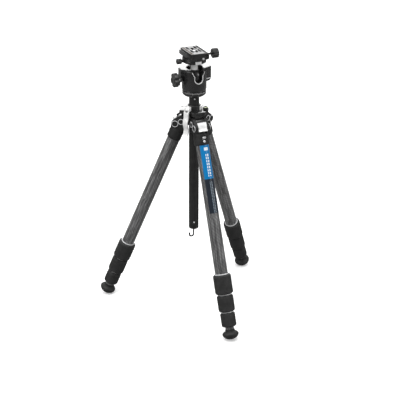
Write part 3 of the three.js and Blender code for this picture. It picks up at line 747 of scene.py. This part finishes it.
def twist_lock(top, bottom, radius, tube_radius):
    """A rubber grip with shallow crossing grooves between two plain rims."""
    grip = tube_radius + GAP
    bore = tube_radius - STEP_IN + GAP
    low = -bottom + 4.6
    high = -top - 5.2
    rows = int((high - low) / 0.72)
    band = [(radius, low + (high - low) * k / rows) for k in range(rows + 1)]
    seat = -LOCK_GRIP - GAP
    profile = raised(-bottom, (bore, 0), (radius - 2.6, 0), (radius - 0.5, 1.8), (radius - 0.1, 3.4),
                     (radius - 0.5, 4))
    profile += band + raised(-top, (radius - 0.5, -4.6), (radius, -4), (radius - 0.4, -2), (radius - 2.6, 0),
                             (grip, 0), (grip, seat), (bore, seat))
    return revolve(profile, 0.15, 216, ring=True, shape_at=knurled(36, 0.42, low, high, 3.4))


def foot(tube_radius):
    spigot = tube_radius - STEP_IN
    profile = raised(-TUBE_4_END, (0, 18), (spigot, 18), (spigot, -GAP), (tube_radius + 0.6, -GAP),
                     (tube_radius + 1.2, -2.4), (tube_radius + 0.4, -3.2))
    profile += raised(-FOOT_CENTRE, (FOOT_RADIUS - 3.4, 4.4), (FOOT_RADIUS - 0.9, 1.8),
                      *((FOOT_RADIUS * x, -FOOT_DOME * y) for x, y in arc((0, 0), 1, 0, 90, 14)))
    return revolve(profile, 0.6, 96)


def badge():
    """A thin badge wrapped on the tube."""
    thick = 0.12
    middle = -90 + 8
    outer = arc((0, 0), TUBE_RADIUS + thick, middle - BADGE_HALF, middle + BADGE_HALF, 40)
    inner = arc((0, 0), TUBE_RADIUS + 0.02, middle + BADGE_HALF, middle - BADGE_HALF, 40)
    return prism(outer + inner, BADGE_BOTTOM, -SHOULDER_END - 0.3, 0)


def build_leg(side):
    at = leg_frame(side)

    def part(shape, name, look, body, node=None):
        piece(shape, f"{side}_{name}", look, f"{side}_{body}", node and f"{side}_{node}", at)

    part(shoulder(), "yoke", "matte", "leg", "shoulder")
    part(pivot_bolt(), "hinge_bolt", "anodised", "leg", "pivot_bolt")
    # steel rims painting the ring highlight on the dark bolt heads
    part(rims(5.3, 6.5, EAR_OUT + 1.4, 1.0), "bolt_highlight_rings", "steel", "leg")
    part(angle_tab(), "angle_tab", "silver", "angle_lock", "angle_lock")
    part(tab_pin(), "tab_pin", "anodised", "angle_lock")
    # steel rims painting the ring highlight on the dark pin heads
    pin_highlight_rings = moved(rims(6.2, 7.3, EAR_OUT + 1.1, 0.8), 0, TAB_Y, TAB_Z)
    part(pin_highlight_rings, "pin_highlight_rings", "steel", "angle_lock")
    spring = moved(turned_by(coil(2.2, 0.45, -3.6, 3.6, 5), ALONG_X), 0, -14.9, -32)
    part(spring, "tab_spring", "steel", "leg")
    screw = revolve([(0, 0), (2.6, 0), (2.6, 1.4), (1.9, 2.0), (0, 2.0)], 0.25, 32)
    cut(screw, prism(hexagon(2.2), 1, 3, 0))
    part(moved(turned_by(screw, FORWARD), 0, -14.6, -39.6), "yoke_screw", "steel", "leg")
    holder = "leg"
    for i, (top, bottom, grip) in enumerate(LOCKS):
        radius = TUBE_RADIUS - i * STEP_IN
        n = i + 1
        part(tube(radius, TUBE_TOPS[i], top + LOCK_GRIP), f"carbon_{n}", "carbon", holder, f"tube_{n}")
        part(twist_lock(top, bottom, grip, radius), f"grip_{n}", "grip", f"lock_{n}", f"twist_lock_{n}")
        # collars between the locks; their bright steel also paints the reflection seen on the dark glossy
        # necks
        collar = pipe(radius + 0.05, radius + 1.5, -top + 0.25, -top + 2.2, 0.35)
        part(collar, f"collar_{n}", "steel", holder)
        holder = f"section_{n + 1}"
    radius = TUBE_RADIUS - len(LOCKS) * STEP_IN
    part(tube(radius, TUBE_TOPS[-1], TUBE_4_END), "carbon_4", "carbon", holder, "tube_4")
    part(foot(radius), "rubber_foot", "foot", holder, "foot")


for side in LEG_AZIMUTHS:
    build_leg(side)
piece(badge(), "front_badge", "badge", "front_leg", place=leg_frame("front"))

# ---- spider, bush, band, lever, level
PIVOT_RADIUS = 26.5
PIVOT_HEIGHT = (Vector(joints["front_leg_hinge"]["pos_m"]).z - AXIS.z) / MM
SPIDER_BOTTOM = PIVOT_HEIGHT - 9.4
SPIDER_TOP = PIVOT_HEIGHT + 25.6
HUB_RADIUS = 16.6
ARM_END = 31
ARM_HALF = 15.5
ARM_THICK = 8
TONGUE_HALF = EAR_IN - 0.5
TONGUE_RADIUS = 11.3
BUSH_RADIUS = 14
BUSH_TOP = SPIDER_TOP + 10
BAND_RADIUS = 18
LEVER_AZIMUTH = 210
LEVER_R = 24.5
LEVER_Z = SPIDER_TOP + 4.5
LEVER_PIN = (0, -LEVER_R, LEVER_Z)
LEVEL_AZIMUTH = -30
LEVEL_AT = -25


def turn_to(shape, azimuth):
    return turned_by(shape, Matrix.Rotation(math.radians(azimuth + 90), 4, "Z"))


def spider():
    body = disc(HUB_RADIUS, SPIDER_BOTTOM, SPIDER_TOP, 0.8)
    plan = eased([(-ARM_HALF, 0), (-ARM_HALF, -ARM_END), (ARM_HALF, -ARM_END), (ARM_HALF, 0)], 4)
    slot_half = 7
    slot_tall = 2.4
    pivot = (0, -PIVOT_RADIUS, PIVOT_HEIGHT)
    cuts = []
    for azimuth in LEG_AZIMUTHS.values():
        arm = prism(plan, SPIDER_TOP - ARM_THICK, SPIDER_TOP, 0.7)
        tongue = block(-TONGUE_HALF, TONGUE_HALF, -PIVOT_RADIUS, 0, SPIDER_BOTTOM, SPIDER_TOP - 1)
        tip = along_x(disc(TONGUE_RADIUS, -TONGUE_HALF, TONGUE_HALF, 0.5), pivot)
        fuse(body, *(turn_to(shape, azimuth) for shape in (arm, tongue, tip)))
        axle = along_x(disc(AXLE_RADIUS + GAP, -30, 30, 0, 32), pivot)
        recess = turned_by(prism(stadium(slot_tall, slot_half), 0, 3, 0), FORWARD)
        recess = moved(recess, 0, -ARM_END + 1.4, SPIDER_TOP - ARM_THICK / 2)
        cuts += [turn_to(axle, azimuth), turn_to(recess, azimuth)]
    shelf = block(-6.6, 6.6, -31.5, -10, SPIDER_TOP - 5, SPIDER_TOP, 0.4)
    fuse(body, turn_to(shelf, LEVEL_AZIMUTH))
    return cut(body, *cuts, disc(BUSH_RADIUS + 0.05, SPIDER_BOTTOM - 1, SPIDER_TOP + 1, 0))


def column_bush():
    return revolve([(COLUMN_RADIUS + 0.12, SPIDER_BOTTOM), (BUSH_RADIUS, SPIDER_BOTTOM),
                    (BUSH_RADIUS, BUSH_TOP - 1.4), (BUSH_RADIUS - 1, BUSH_TOP),
                    (COLUMN_RADIUS + 0.12, BUSH_TOP)], 0.5, ring=True)


def clamp_band():
    low = SPIDER_TOP + GAP
    high = SPIDER_TOP + 8.6
    band = pipe(BUSH_RADIUS + 0.1, BAND_RADIUS, low, high, 0.8, 96)
    cut(band, turn_to(prism([(0, 0), (-26, -30), (26, -30)], low - 3, high + 3, 0), -100))
    lug = sideways([(-LEVER_R, low), (-15, low), (-15, high), (-LEVER_R, high)], 3.4, 0.5)
    eye = along_x(disc(4, -3.4, 3.4, 0.4, 48), LEVER_PIN)
    fuse(band, turn_to(lug, LEVER_AZIMUTH), turn_to(eye, LEVER_AZIMUTH))
    pin = along_x(disc(2.1, -20, 20, 0, 32), LEVER_PIN)
    return cut(band, turn_to(pin, LEVER_AZIMUTH), disc(BUSH_RADIUS + 0.1, low - 1, high + 1, 0))


def column_lever():
    """A wavy strap that hangs from its forked knuckle."""
    spine = smooth_path([(-r, z) for r, z in (
        (LEVER_R + 1, LEVER_Z - 1), (28.4, LEVER_Z - 9), (28.6, LEVER_Z - 18), (31.4, LEVER_Z - 27),
        (31, LEVER_Z - 35), (28.4, LEVER_Z - 44), (29.4, LEVER_Z - 52), (31.6, LEVER_Z - 58))], 5)
    outer = []
    inner = []
    for k, point in enumerate(spine):
        ahead = spine[min(k + 1, len(spine) - 1)] - spine[max(k - 1, 0)]
        side = Vector((ahead.y, -ahead.x)).normalized() * 1.5
        outer.append((point.x + side.x, point.y + side.y))
        inner.insert(0, (point.x - side.x, point.y - side.y))
    strap = sideways(outer + inner, 6.2, 0.7)
    knuckle = along_x(disc(4.2, -6.2, 6.2, 0.5, 48), LEVER_PIN)
    fuse(strap, knuckle)
    cut(strap, block(-3.7, 3.7, -LEVER_R - 5, -LEVER_R + 8, LEVER_Z - 6.2, LEVER_Z + 6))
    pin = revolve(both_ends((0, 7), (2.6, 7), (1.8, 6)), 0.2, 32)
    return turn_to(fuse(strap, along_x(pin, LEVER_PIN)), LEVER_AZIMUTH)


def at_level(shape):
    """Moves a shape drawn round the origin to the level's seat."""
    return turn_to(moved(shape, 0, LEVEL_AT, SPIDER_TOP + GAP), LEVEL_AZIMUTH)


def level_ring():
    profile = [(4.4, 0.8), (4.4, 4), (6, 4), (6, 0), (0.5, 0), (0.5, 0.8)]
    return at_level(revolve(profile, 0.3, 64, ring=True))


def level_vial():
    return at_level(revolve([(0, 1.1), (4.3, 1.1), (4.3, 3.2), (2.6, 3.6), (0, 3.7)], 0.3, 64))


def level_circle():
    """The bubble's target ring, a thin painted line on the vial."""
    return at_level(pipe(1.5, 1.8, 3.62, 3.74, 0.02, 48))


# ---- centre column
COLUMN_RADIUS = 11.15
COLUMN_BORE = 9
COLUMN_BOTTOM = 187.4
COLUMN_TOP = 496.4
GROOVE_AZIMUTH = -60
SCREW_AZIMUTH = -108
UPPER_SCREW, LOWER_SCREW = 493, 199
CAP_BOTTOM = 181.4
HOOK_WIRE = 1.8
HOOK_DROP = 15.8
HOOK_RADIUS = 5.2


def radial(shape, z, azimuth):
    """Lays an upright shape outward at a height, facing an azimuth."""
    return turn_to(moved(turned_by(shape, FORWARD), 0, 0, z), azimuth)


def column_tube():
    barrel = pipe(COLUMN_BORE, COLUMN_RADIUS, COLUMN_BOTTOM, COLUMN_TOP, 0.4, 96)
    groove = block(-2, 2, -COLUMN_RADIUS - 1, -COLUMN_RADIUS + 1.1, COLUMN_BOTTOM + 8, COLUMN_TOP - 4)
    return cut(barrel, turn_to(groove, GROOVE_AZIMUTH),
               *(radial(disc(1.9, 6, 13, 0, 32), z, SCREW_AZIMUTH) for z in (UPPER_SCREW, LOWER_SCREW)))


def set_screw(z):
    screw = disc(1.75, COLUMN_BORE + GAP, COLUMN_RADIUS + 0.1, 0.2, 32)
    cut(screw, prism(hexagon(1.5), COLUMN_RADIUS - 0.8, COLUMN_RADIUS + 1, 0))
    return radial(screw, z, SCREW_AZIMUTH)


def column_plate():
    plug = COLUMN_BORE - 0.1
    profile = raised(COLUMN_TOP, (0, -16), (plug, -16), (plug, 0.1), (14, 0.1))
    profile += raised(HEAD_BOTTOM, (14, -0.1), (0, -0.1))
    return cut(revolve(profile, 0.4), disc(4.9 + GAP, COLUMN_TOP - 8, HEAD_BOTTOM + 1, 0, 48))


def head_stud():
    """A screw with the crests of its thread turned as rings."""
    low = COLUMN_TOP - 7.5
    high = HEAD_BOTTOM + 8
    pitch = 1.6
    count = int((high - low - 1) / pitch)
    profile = [(0, low)]
    for k in range(count):
        profile += [(4.3, low + k * pitch + 0.2), (4.9, low + k * pitch + 0.9)]
    return revolve(profile + [(4.2, high - 0.6), (3.8, high), (0, high)], 0.1, 48)


def column_cap():
    rim = COLUMN_RADIUS
    plug = COLUMN_BORE - 0.1
    profile = raised(CAP_BOTTOM, (0, 0), (rim - 1, 0), (rim, 1), (rim, 2.4), (rim - 0.5, 2.8), (rim, 3.2))
    profile += raised(COLUMN_BOTTOM, (rim, -0.1), (plug, -0.1), (plug, 14), (0, 14))
    return cut(revolve(profile, 0.25), disc(2.7, CAP_BOTTOM - 1, CAP_BOTTOM + 10.6, 0, 32))


def ballast_hook():
    bend = CAP_BOTTOM - HOOK_DROP
    path = [(0, 0, CAP_BOTTOM - drop) for drop in (4, 5.5, 7)]
    path += [(x, 0, z) for x, z in arc((-HOOK_RADIUS, bend), HOOK_RADIUS, 0, -215, 30)]
    shank = revolve(raised(CAP_BOTTOM, (0, -4.6), (2.6, -4.6), (3.4, -3.6), (3.4, -GAP), (2.4, -GAP),
                           (2.4, 10), (0, 10)), 0.4, 48)
    return fuse(shank, sweep(path, HOOK_WIRE, 24))


# ---- ball head
HEAD_BOTTOM = 500.6
PAN_SPLIT = 513
BASE_RADIUS = 25.8
HOUSING_RADIUS = 26.8
HOUSING_TOP = 558.2
BLOCK_LEFT, BLOCK_RIGHT, BLOCK_BOTTOM, BLOCK_TOP, BLOCK_RISE = -30.7, 35.4, 532, 560, 4
BLOCK_HIGH = BLOCK_TOP + BLOCK_RISE
BLOCK_PLAN = [(BLOCK_LEFT, 0), (-16, -17), (16, -17), (BLOCK_RIGHT, -11), (BLOCK_RIGHT, 14), (10, 17),
              (-14, 22), (BLOCK_LEFT, 17)]
BALL_RADIUS = 18
BALL_HEIGHT = 541
NECK_RADIUS = 7.5
NOTCH_HALF = 8.6
MOUTH = 15.5
RIM_OPENING = 18.6
KNOB_HEIGHT = 538


def ball_shape(radius):
    return revolve(arc((0, BALL_HEIGHT), radius, -90, 90, 40), 0, 96)


def panning_base():
    rim = BASE_RADIUS
    profile = raised(HEAD_BOTTOM, (0, 0), (rim - 3.4, 0), (rim, 3.4))
    profile += raised(PAN_SPLIT, (rim, -2.4), (rim - 0.5, -2), (rim - 0.5, -0.6), (rim - 0.8, 0), (0, 0))
    return cut(revolve(profile, 0.5, 96), disc(5.2, HEAD_BOTTOM - 1, HEAD_BOTTOM + 9, 0, 48))


def index_marks():
    """Short radial marks round the panning base, a longer one at every sixth."""
    verts, faces = [], []
    count = 72
    half = 0.012
    for k in range(count):
        middle = 2 * math.pi * k / count
        base = len(verts)
        for z in (PAN_SPLIT - (4.6 if k % 6 else 5.8), PAN_SPLIT - 2.8):
            for reach in (BASE_RADIUS - 0.1, BASE_RADIUS + 0.06):
                verts += [(*round_at(reach, middle + side * half), z) for side in (-1, 1)]
        faces += [tuple(base + i for i in face) for face in (
            (0, 1, 3, 2), (4, 6, 7, 5), (0, 4, 5, 1), (2, 3, 7, 6), (0, 2, 6, 4), (1, 5, 7, 3))]
    return mesh_object(verts, faces)


def housing():
    floor = PAN_SPLIT + GAP
    barrel = revolve([(0, floor), (BASE_RADIUS, floor), (HOUSING_RADIUS, floor + 2),
                      (HOUSING_RADIUS, HOUSING_TOP), (0, HOUSING_TOP)], 1.4, 120)
    face = eased([(BLOCK_LEFT, BLOCK_BOTTOM + 6), (BLOCK_LEFT, BLOCK_TOP), (BLOCK_RIGHT, BLOCK_HIGH),
                  (BLOCK_RIGHT, BLOCK_BOTTOM + 5), (BLOCK_RIGHT - 5, BLOCK_BOTTOM),
                  (BLOCK_LEFT + 6, BLOCK_BOTTOM)], 1.6)
    wings = common(across_y(face, 30, 0), prism(eased(BLOCK_PLAN, 2), BLOCK_BOTTOM - 1, BLOCK_HIGH + 1, 0))
    fuse(barrel, wings)
    bore = BALL_RADIUS + 0.5
    mouth_angle = math.degrees(math.acos(MOUTH / bore))
    cavity = revolve([(0, floor + 3), (bore, floor + 3)] + arc((0, BALL_HEIGHT), bore, 0, mouth_angle, 16)
                     + [(MOUTH, BALL_HEIGHT + 11), (RIM_OPENING, BLOCK_HIGH + 0.5),
                        (0, BLOCK_HIGH + 0.5)], 0, 120)
    notch = arc((0, BALL_HEIGHT), NOTCH_HALF, 180, 360, 24) + [
        (NOTCH_HALF, BALL_HEIGHT + 6), (NOTCH_HALF + 7.5, BLOCK_HIGH),
        (-NOTCH_HALF - 7.5, BLOCK_HIGH), (-NOTCH_HALF, BALL_HEIGHT + 6)]
    slot = turned_by(prism(notch, 0, 40, 0), FORWARD)
    knob_bore = along_x(disc(3.3, -40, -16, 0, 32), (0, 0, KNOB_HEIGHT))
    pan_bore = turned_by(disc(2.4, 14, 40, 0, 32), BACKWARD)
    rim = HOUSING_RADIUS
    line = revolve(raised(525, (rim - 0.5, 0), (rim + 1, -0.4), (rim + 1, 0.8), (rim - 0.5, 0.4)), 0, 120,
                   ring=True)
    return cut(barrel, cavity, slot, knob_bore, moved(pan_bore, 0, 0, PAN_SPLIT + 7), line)


def wing_seam():
    """A bright band round the right wing, above its separate lower end."""
    right = BLOCK_RIGHT + 0.2
    outline = [(22, -15.2), (24, -14.7), (right, -11.1), (right, 14.2), (24, 15.6), (22, 15.6)]
    return prism(eased(outline, 0.6), 536.4, 538.4, 0.1)


def notch_lip():
    """The bright cut edge that follows the drop notch and the ball's opening: a machined edge whose silver
    also paints the highlight along it.
    """
    side = NOTCH_HALF + 0.7
    points = [(-side - 4.6, HOUSING_TOP - 2), (-side, BALL_HEIGHT + 6)]
    points += arc((0, BALL_HEIGHT), side, 180, 360, 24)
    points += [(side, BALL_HEIGHT + 6), (side + 4.6, HOUSING_TOP - 2)]
    path = [(x, -math.sqrt((HOUSING_RADIUS - 0.7) ** 2 - x * x), z) for x, z in points]
    return sweep(path, 0.95, 12)


def ball_cup():
    return cut(disc(17.8, PAN_SPLIT + 3.7, BALL_HEIGHT - 8, 0.4), ball_shape(BALL_RADIUS + 0.1),
               disc(6, PAN_SPLIT, BALL_HEIGHT, 0, 48))


def neck():
    profile = raised(BALL_HEIGHT, (0, 14), (NECK_RADIUS, 14))
    profile += raised(DISC_BOTTOM, (NECK_RADIUS, -5), (9, -2.6), (14, -1.2), (14, -0.1), (0, -0.1))
    return cut(revolve(profile, 1.0), ball_shape(BALL_RADIUS + 0.1))


def grip_knob(radius, lobes, bite, near, far, stem, stem_from, shaft, shaft_from, ribs=0):
    """A scalloped knob on a round stem, laid along +X with its grip between near and far."""
    steps = 120 // lobes
    grip = prism(lobed(radius, bite, lobes, steps), near, far, min(1.2, radius * 0.12), 5)
    core = revolve([(0, shaft_from), (shaft, shaft_from), (shaft, stem_from), (stem, stem_from),
                    (stem, near + 1), (0, near + 1)], 0.3, 48)
    face = revolve([(0, far - 1), (radius * 0.62, far - 1), (radius * 0.58, far + 0.7),
                    (0, far + 0.7)], 0.3, 64)
    fuse(grip, core, face)
    cut(grip, disc(radius * 0.3, far + 0.1, far + 2, 0, 48))
    for k in range(ribs):
        groove = disc(0.5, near - 1, far - 1.2, 0, 12)
        cut(grip, moved(groove, *round_at(radius, 2 * math.pi * (k + 0.5) / ribs), 0))
    return along_x(grip)


def main_knob():
    knob = grip_knob(15.2, 5, 3.4, 38, 49, 6, 31.1, 3, 19.5)
    return moved(turned_by(knob, HALF_TURN), 0, 0, KNOB_HEIGHT)


def main_knob_highlight_band():
    """The lighter ring between the knob's lobes and its hub, a painted highlight on the hub."""
    return moved(turned_by(along_x(pipe(6.2, 9.4, 36.6, 37.9, 0.3, 64)), HALF_TURN), 0, 0, KNOB_HEIGHT)


def base_pan_knob():
    knob = grip_knob(6.6, 6, 1, 30.6, 39.6, 3.4, 27.3, 2, 19.5)
    return moved(turned_by(knob, Matrix.Rotation(math.pi / 2, 4, "Z")), 0, 0, PAN_SPLIT + 7)


# ---- clamp and plate
DISC_RADIUS = 26
DISC_BOTTOM = 573
PAN_KNOB_HEIGHT = 578.4
CLAMP_BOTTOM = 584.8
CLAMP_FLOOR = 589.6
CLAMP_HALF = 30
JAW_FLOOR, JAW_TIP, JAW_TOP = 590.6, 594.2, 595.3
JAW_LEFT, JAW_RIGHT = -22.5, 21.5
PLATE_SHOULDER = 595.7
PLATE_HALF_X = 19.5
PLATE_HALF_Y = 30.5
SCREW_HEIGHT = 587.2


def clamp_base():
    rim = DISC_RADIUS
    profile = raised(DISC_BOTTOM, (0, 0), (rim - 3, 0), (rim, 2), (rim, 6.6), (rim - 0.5, 7),
                     (rim - 0.5, 7.8), (rim, 8.2))
    profile += raised(CLAMP_BOTTOM, (rim, -1), (rim - 0.8, -0.1), (0, -0.1))
    return cut(revolve(profile, 0.3, 120), along_x(disc(2.3, -30, -14, 0, 32), (0, 0, PAN_KNOB_HEIGHT)))


def disc_highlight_plate():
    """A bright curved plate on the front of the clamp's disc, a painted highlight on the disc's side."""
    outer = arc((0, 0), DISC_RADIUS + 0.3, -108, -78, 24)
    inner = arc((0, 0), DISC_RADIUS - 0.4, -78, -108, 24)
    return prism(outer + inner, DISC_BOTTOM + 1.6, DISC_BOTTOM + 7.6, 0.15)


def clamp_pan_knob():
    knob = grip_knob(6.1, 8, 0.7, 30.5, 40.2, 3.2, 26.3, 2, 15)
    return moved(turned_by(knob, HALF_TURN), 0, 0, PAN_KNOB_HEIGHT)


def clamp_body():
    section = [(JAW_LEFT, CLAMP_BOTTOM + 2), (JAW_LEFT + 2, CLAMP_BOTTOM), (14, CLAMP_BOTTOM),
               (14, CLAMP_FLOOR), (-19.6, CLAMP_FLOOR), (-19.6, JAW_FLOOR), (-15.4, JAW_TIP),
               (-15.4, JAW_TOP), (JAW_LEFT + 1, JAW_TOP), (JAW_LEFT, JAW_TOP - 1)]
    jaw = across_y(eased(section, 0.4), CLAMP_HALF, 0.25)
    pocket = turned_by(disc(2.6, -CLAMP_HALF - 1, -CLAMP_HALF + 1.2, 0, 32), BACKWARD)
    return cut(jaw, along_x(disc(1.9, -14, 15, 0, 32), (0, 0, SCREW_HEIGHT)),
               moved(pocket, -4, 0, SCREW_HEIGHT))


def clamp_jaw():
    section = [(14.3, CLAMP_BOTTOM), (JAW_RIGHT - 2, CLAMP_BOTTOM), (JAW_RIGHT, CLAMP_BOTTOM + 2),
               (JAW_RIGHT, JAW_TOP - 1), (JAW_RIGHT - 1, JAW_TOP), (15.4, JAW_TOP), (15.4, JAW_TIP),
               (19.6, JAW_FLOOR), (19.6, CLAMP_FLOOR), (14.3, CLAMP_FLOOR)]
    jaw = across_y(eased(section, 0.4), CLAMP_HALF, 0.25)
    return cut(jaw, along_x(disc(1.9, 10, 30, 0, 32), (0, 0, SCREW_HEIGHT)))


def clamp_knob():
    return moved(grip_knob(10.7, 9, 1.2, 41.6, 54.6, 2.4, 22, 1.6, -10), 0, 0, SCREW_HEIGHT)


SIDE_SLOT_X = 8.6
SIDE_SLOTS_Y = (-7, 16)
STRIP_X = 15.6


def camera_plate():
    bottom = CLAMP_FLOOR + 0.15
    right = [(19, bottom), (19, bottom + 0.6), (14.8, JAW_TIP - 0.2), (14.8, PLATE_SHOULDER),
             (PLATE_HALF_X, PLATE_SHOULDER), (PLATE_HALF_X, PLATE_TOP)]
    left = [(-x, z) for x, z in reversed(right)]
    slab = across_y(eased(right + left, 0.3), PLATE_HALF_Y, 0.25)
    cut(slab, prism(stadium(3.5, 14, "y"), bottom - 1, PLATE_TOP + 1, 0),
        prism(stadium(7, 14, "y"), bottom - 1, 593.6, 0))
    for x in (-SIDE_SLOT_X, SIDE_SLOT_X):
        for y in SIDE_SLOTS_Y:
            cut(slab, moved(prism(stadium(2.6, 6.4, "y"), PLATE_TOP - 7, PLATE_TOP + 1, 0), x, y, 0))
    for x in (-STRIP_X, STRIP_X):
        cut(slab, moved(prism(eased(rectangle(2.4, 28), 1), PLATE_TOP - 0.5, PLATE_TOP + 1, 0), x, 0, 0))
    return slab


def plate_strip(side):
    """A grippy strip let into the plate's top."""
    strip = prism(eased(rectangle(2.3, 27.9), 1), PLATE_TOP - 0.5, PLATE_TOP - 0.02, 0.12)
    return moved(strip, side * STRIP_X, 0, 0)


def camera_screw():
    screw = revolve([(0, 590.4), (6.4, 590.4), (6.4, 593.2), (3.1, 593.2), (3.1, PLATE_TOP - 1),
                     (2.5, PLATE_TOP - 0.4), (0, PLATE_TOP - 0.4)], 0.2, 48)
    return cut(screw, block(-4.6, 4.6, -0.7, 0.7, 589, 591.4))


def face_screw(x, z, radius):
    """A small countersunk screw on the clamp's front face."""
    screw = disc(radius, -0.2, 0.5, 0.15, 32)
    cut(screw, prism(hexagon(radius), 0, 1, 0))
    return moved(turned_by(screw, FORWARD), x, -CLAMP_HALF, z)


# ---- placing the middle of the tripod
piece(spider(), "spider_casting", "gloss", "spider", "spider")
piece(column_bush(), "column_collet", "plastic", "spider", "column_bush")
piece(clamp_band(), "column_clamp", "silver", "spider", "clamp_band")
piece(column_lever(), "wavy_lever", "silver", "column_lever", "column_lever")
piece(level_ring(), "level_cup", "anodised", "spider", "level_ring")
piece(level_vial(), "level_glass", "vial", "spider", "level_vial")
piece(level_circle(), "level_target", "matte", "spider")
piece(column_tube(), "column_barrel", "matte", "column", "column_tube")
piece(set_screw(UPPER_SCREW), "upper_grub_screw", "steel", "column", "upper_set_screw")
piece(set_screw(LOWER_SCREW), "lower_grub_screw", "steel", "column", "lower_set_screw")
piece(column_plate(), "column_top_plate", "anodised", "column", "column_plate")
piece(head_stud(), "threaded_stud", "steel", "column", "head_stud")
piece(column_cap(), "column_end_cap", "matte", "column", "column_cap")
piece(ballast_hook(), "weight_hook", "anodised", "hook", "ballast_hook")
piece(panning_base(), "head_base", "gloss", "column", "panning_base")
piece(index_marks(), "index_marks", "paint", "column")
piece(housing(), "head_body", "gloss", "head", "head_housing")
# silver lip: machined notch edge plus a painted highlight along it
piece(notch_lip(), "notch_lip", "silver", "head")
piece(wing_seam(), "wing_seam", "steel", "head")
piece(ball_cup(), "ball_seat", "plastic", "head", "ball_cup")
piece(ball_shape(BALL_RADIUS), "ball_sphere", "gloss", "ball", "ball")
piece(neck(), "ball_stem", "silver", "neck", "neck")
piece(main_knob(), "main_lock_knob", "anodised", "ball_lock_knob", "ball_lock_knob")
# steel ring painting the highlight on the main knob's hub
piece(main_knob_highlight_band(), "main_knob_highlight_ring", "steel", "ball_lock_knob")
piece(base_pan_knob(), "pan_lock_knob", "anodised", "base_pan_knob", "base_pan_knob")
piece(clamp_base(), "clamp_disc", "gloss", "neck", "clamp_base")
# this bright silver plate is a painted highlight on the clamp disc's side
piece(disc_highlight_plate(), "disc_highlight_plate", "silver", "neck")
piece(clamp_pan_knob(), "clamp_disc_knob", "anodised", "clamp_pan_knob", "clamp_pan_knob")
piece(clamp_body(), "clamp_channel", "gloss", "clamp", "clamp_body")
piece(clamp_jaw(), "moving_jaw", "gloss", "jaw", "clamp_jaw")
piece(clamp_knob(), "jaw_knob", "anodised", "clamp_knob", "clamp_knob")
piece(camera_plate(), "dovetail_plate", "plate", "plate", "camera_plate")
# left strip coloured lighter brown-grey than the right one
piece(plate_strip(-1), "plate_strip_left", "left_strip_tone", "plate")
piece(plate_strip(1), "plate_strip_right", "strip", "plate")
piece(camera_screw(), "plate_screw", "steel", "camera_screw", "camera_screw")
piece(face_screw(8, 587.4, 2.2), "clamp_face_screw", "steel", "clamp")

make_stage()
make_camera()
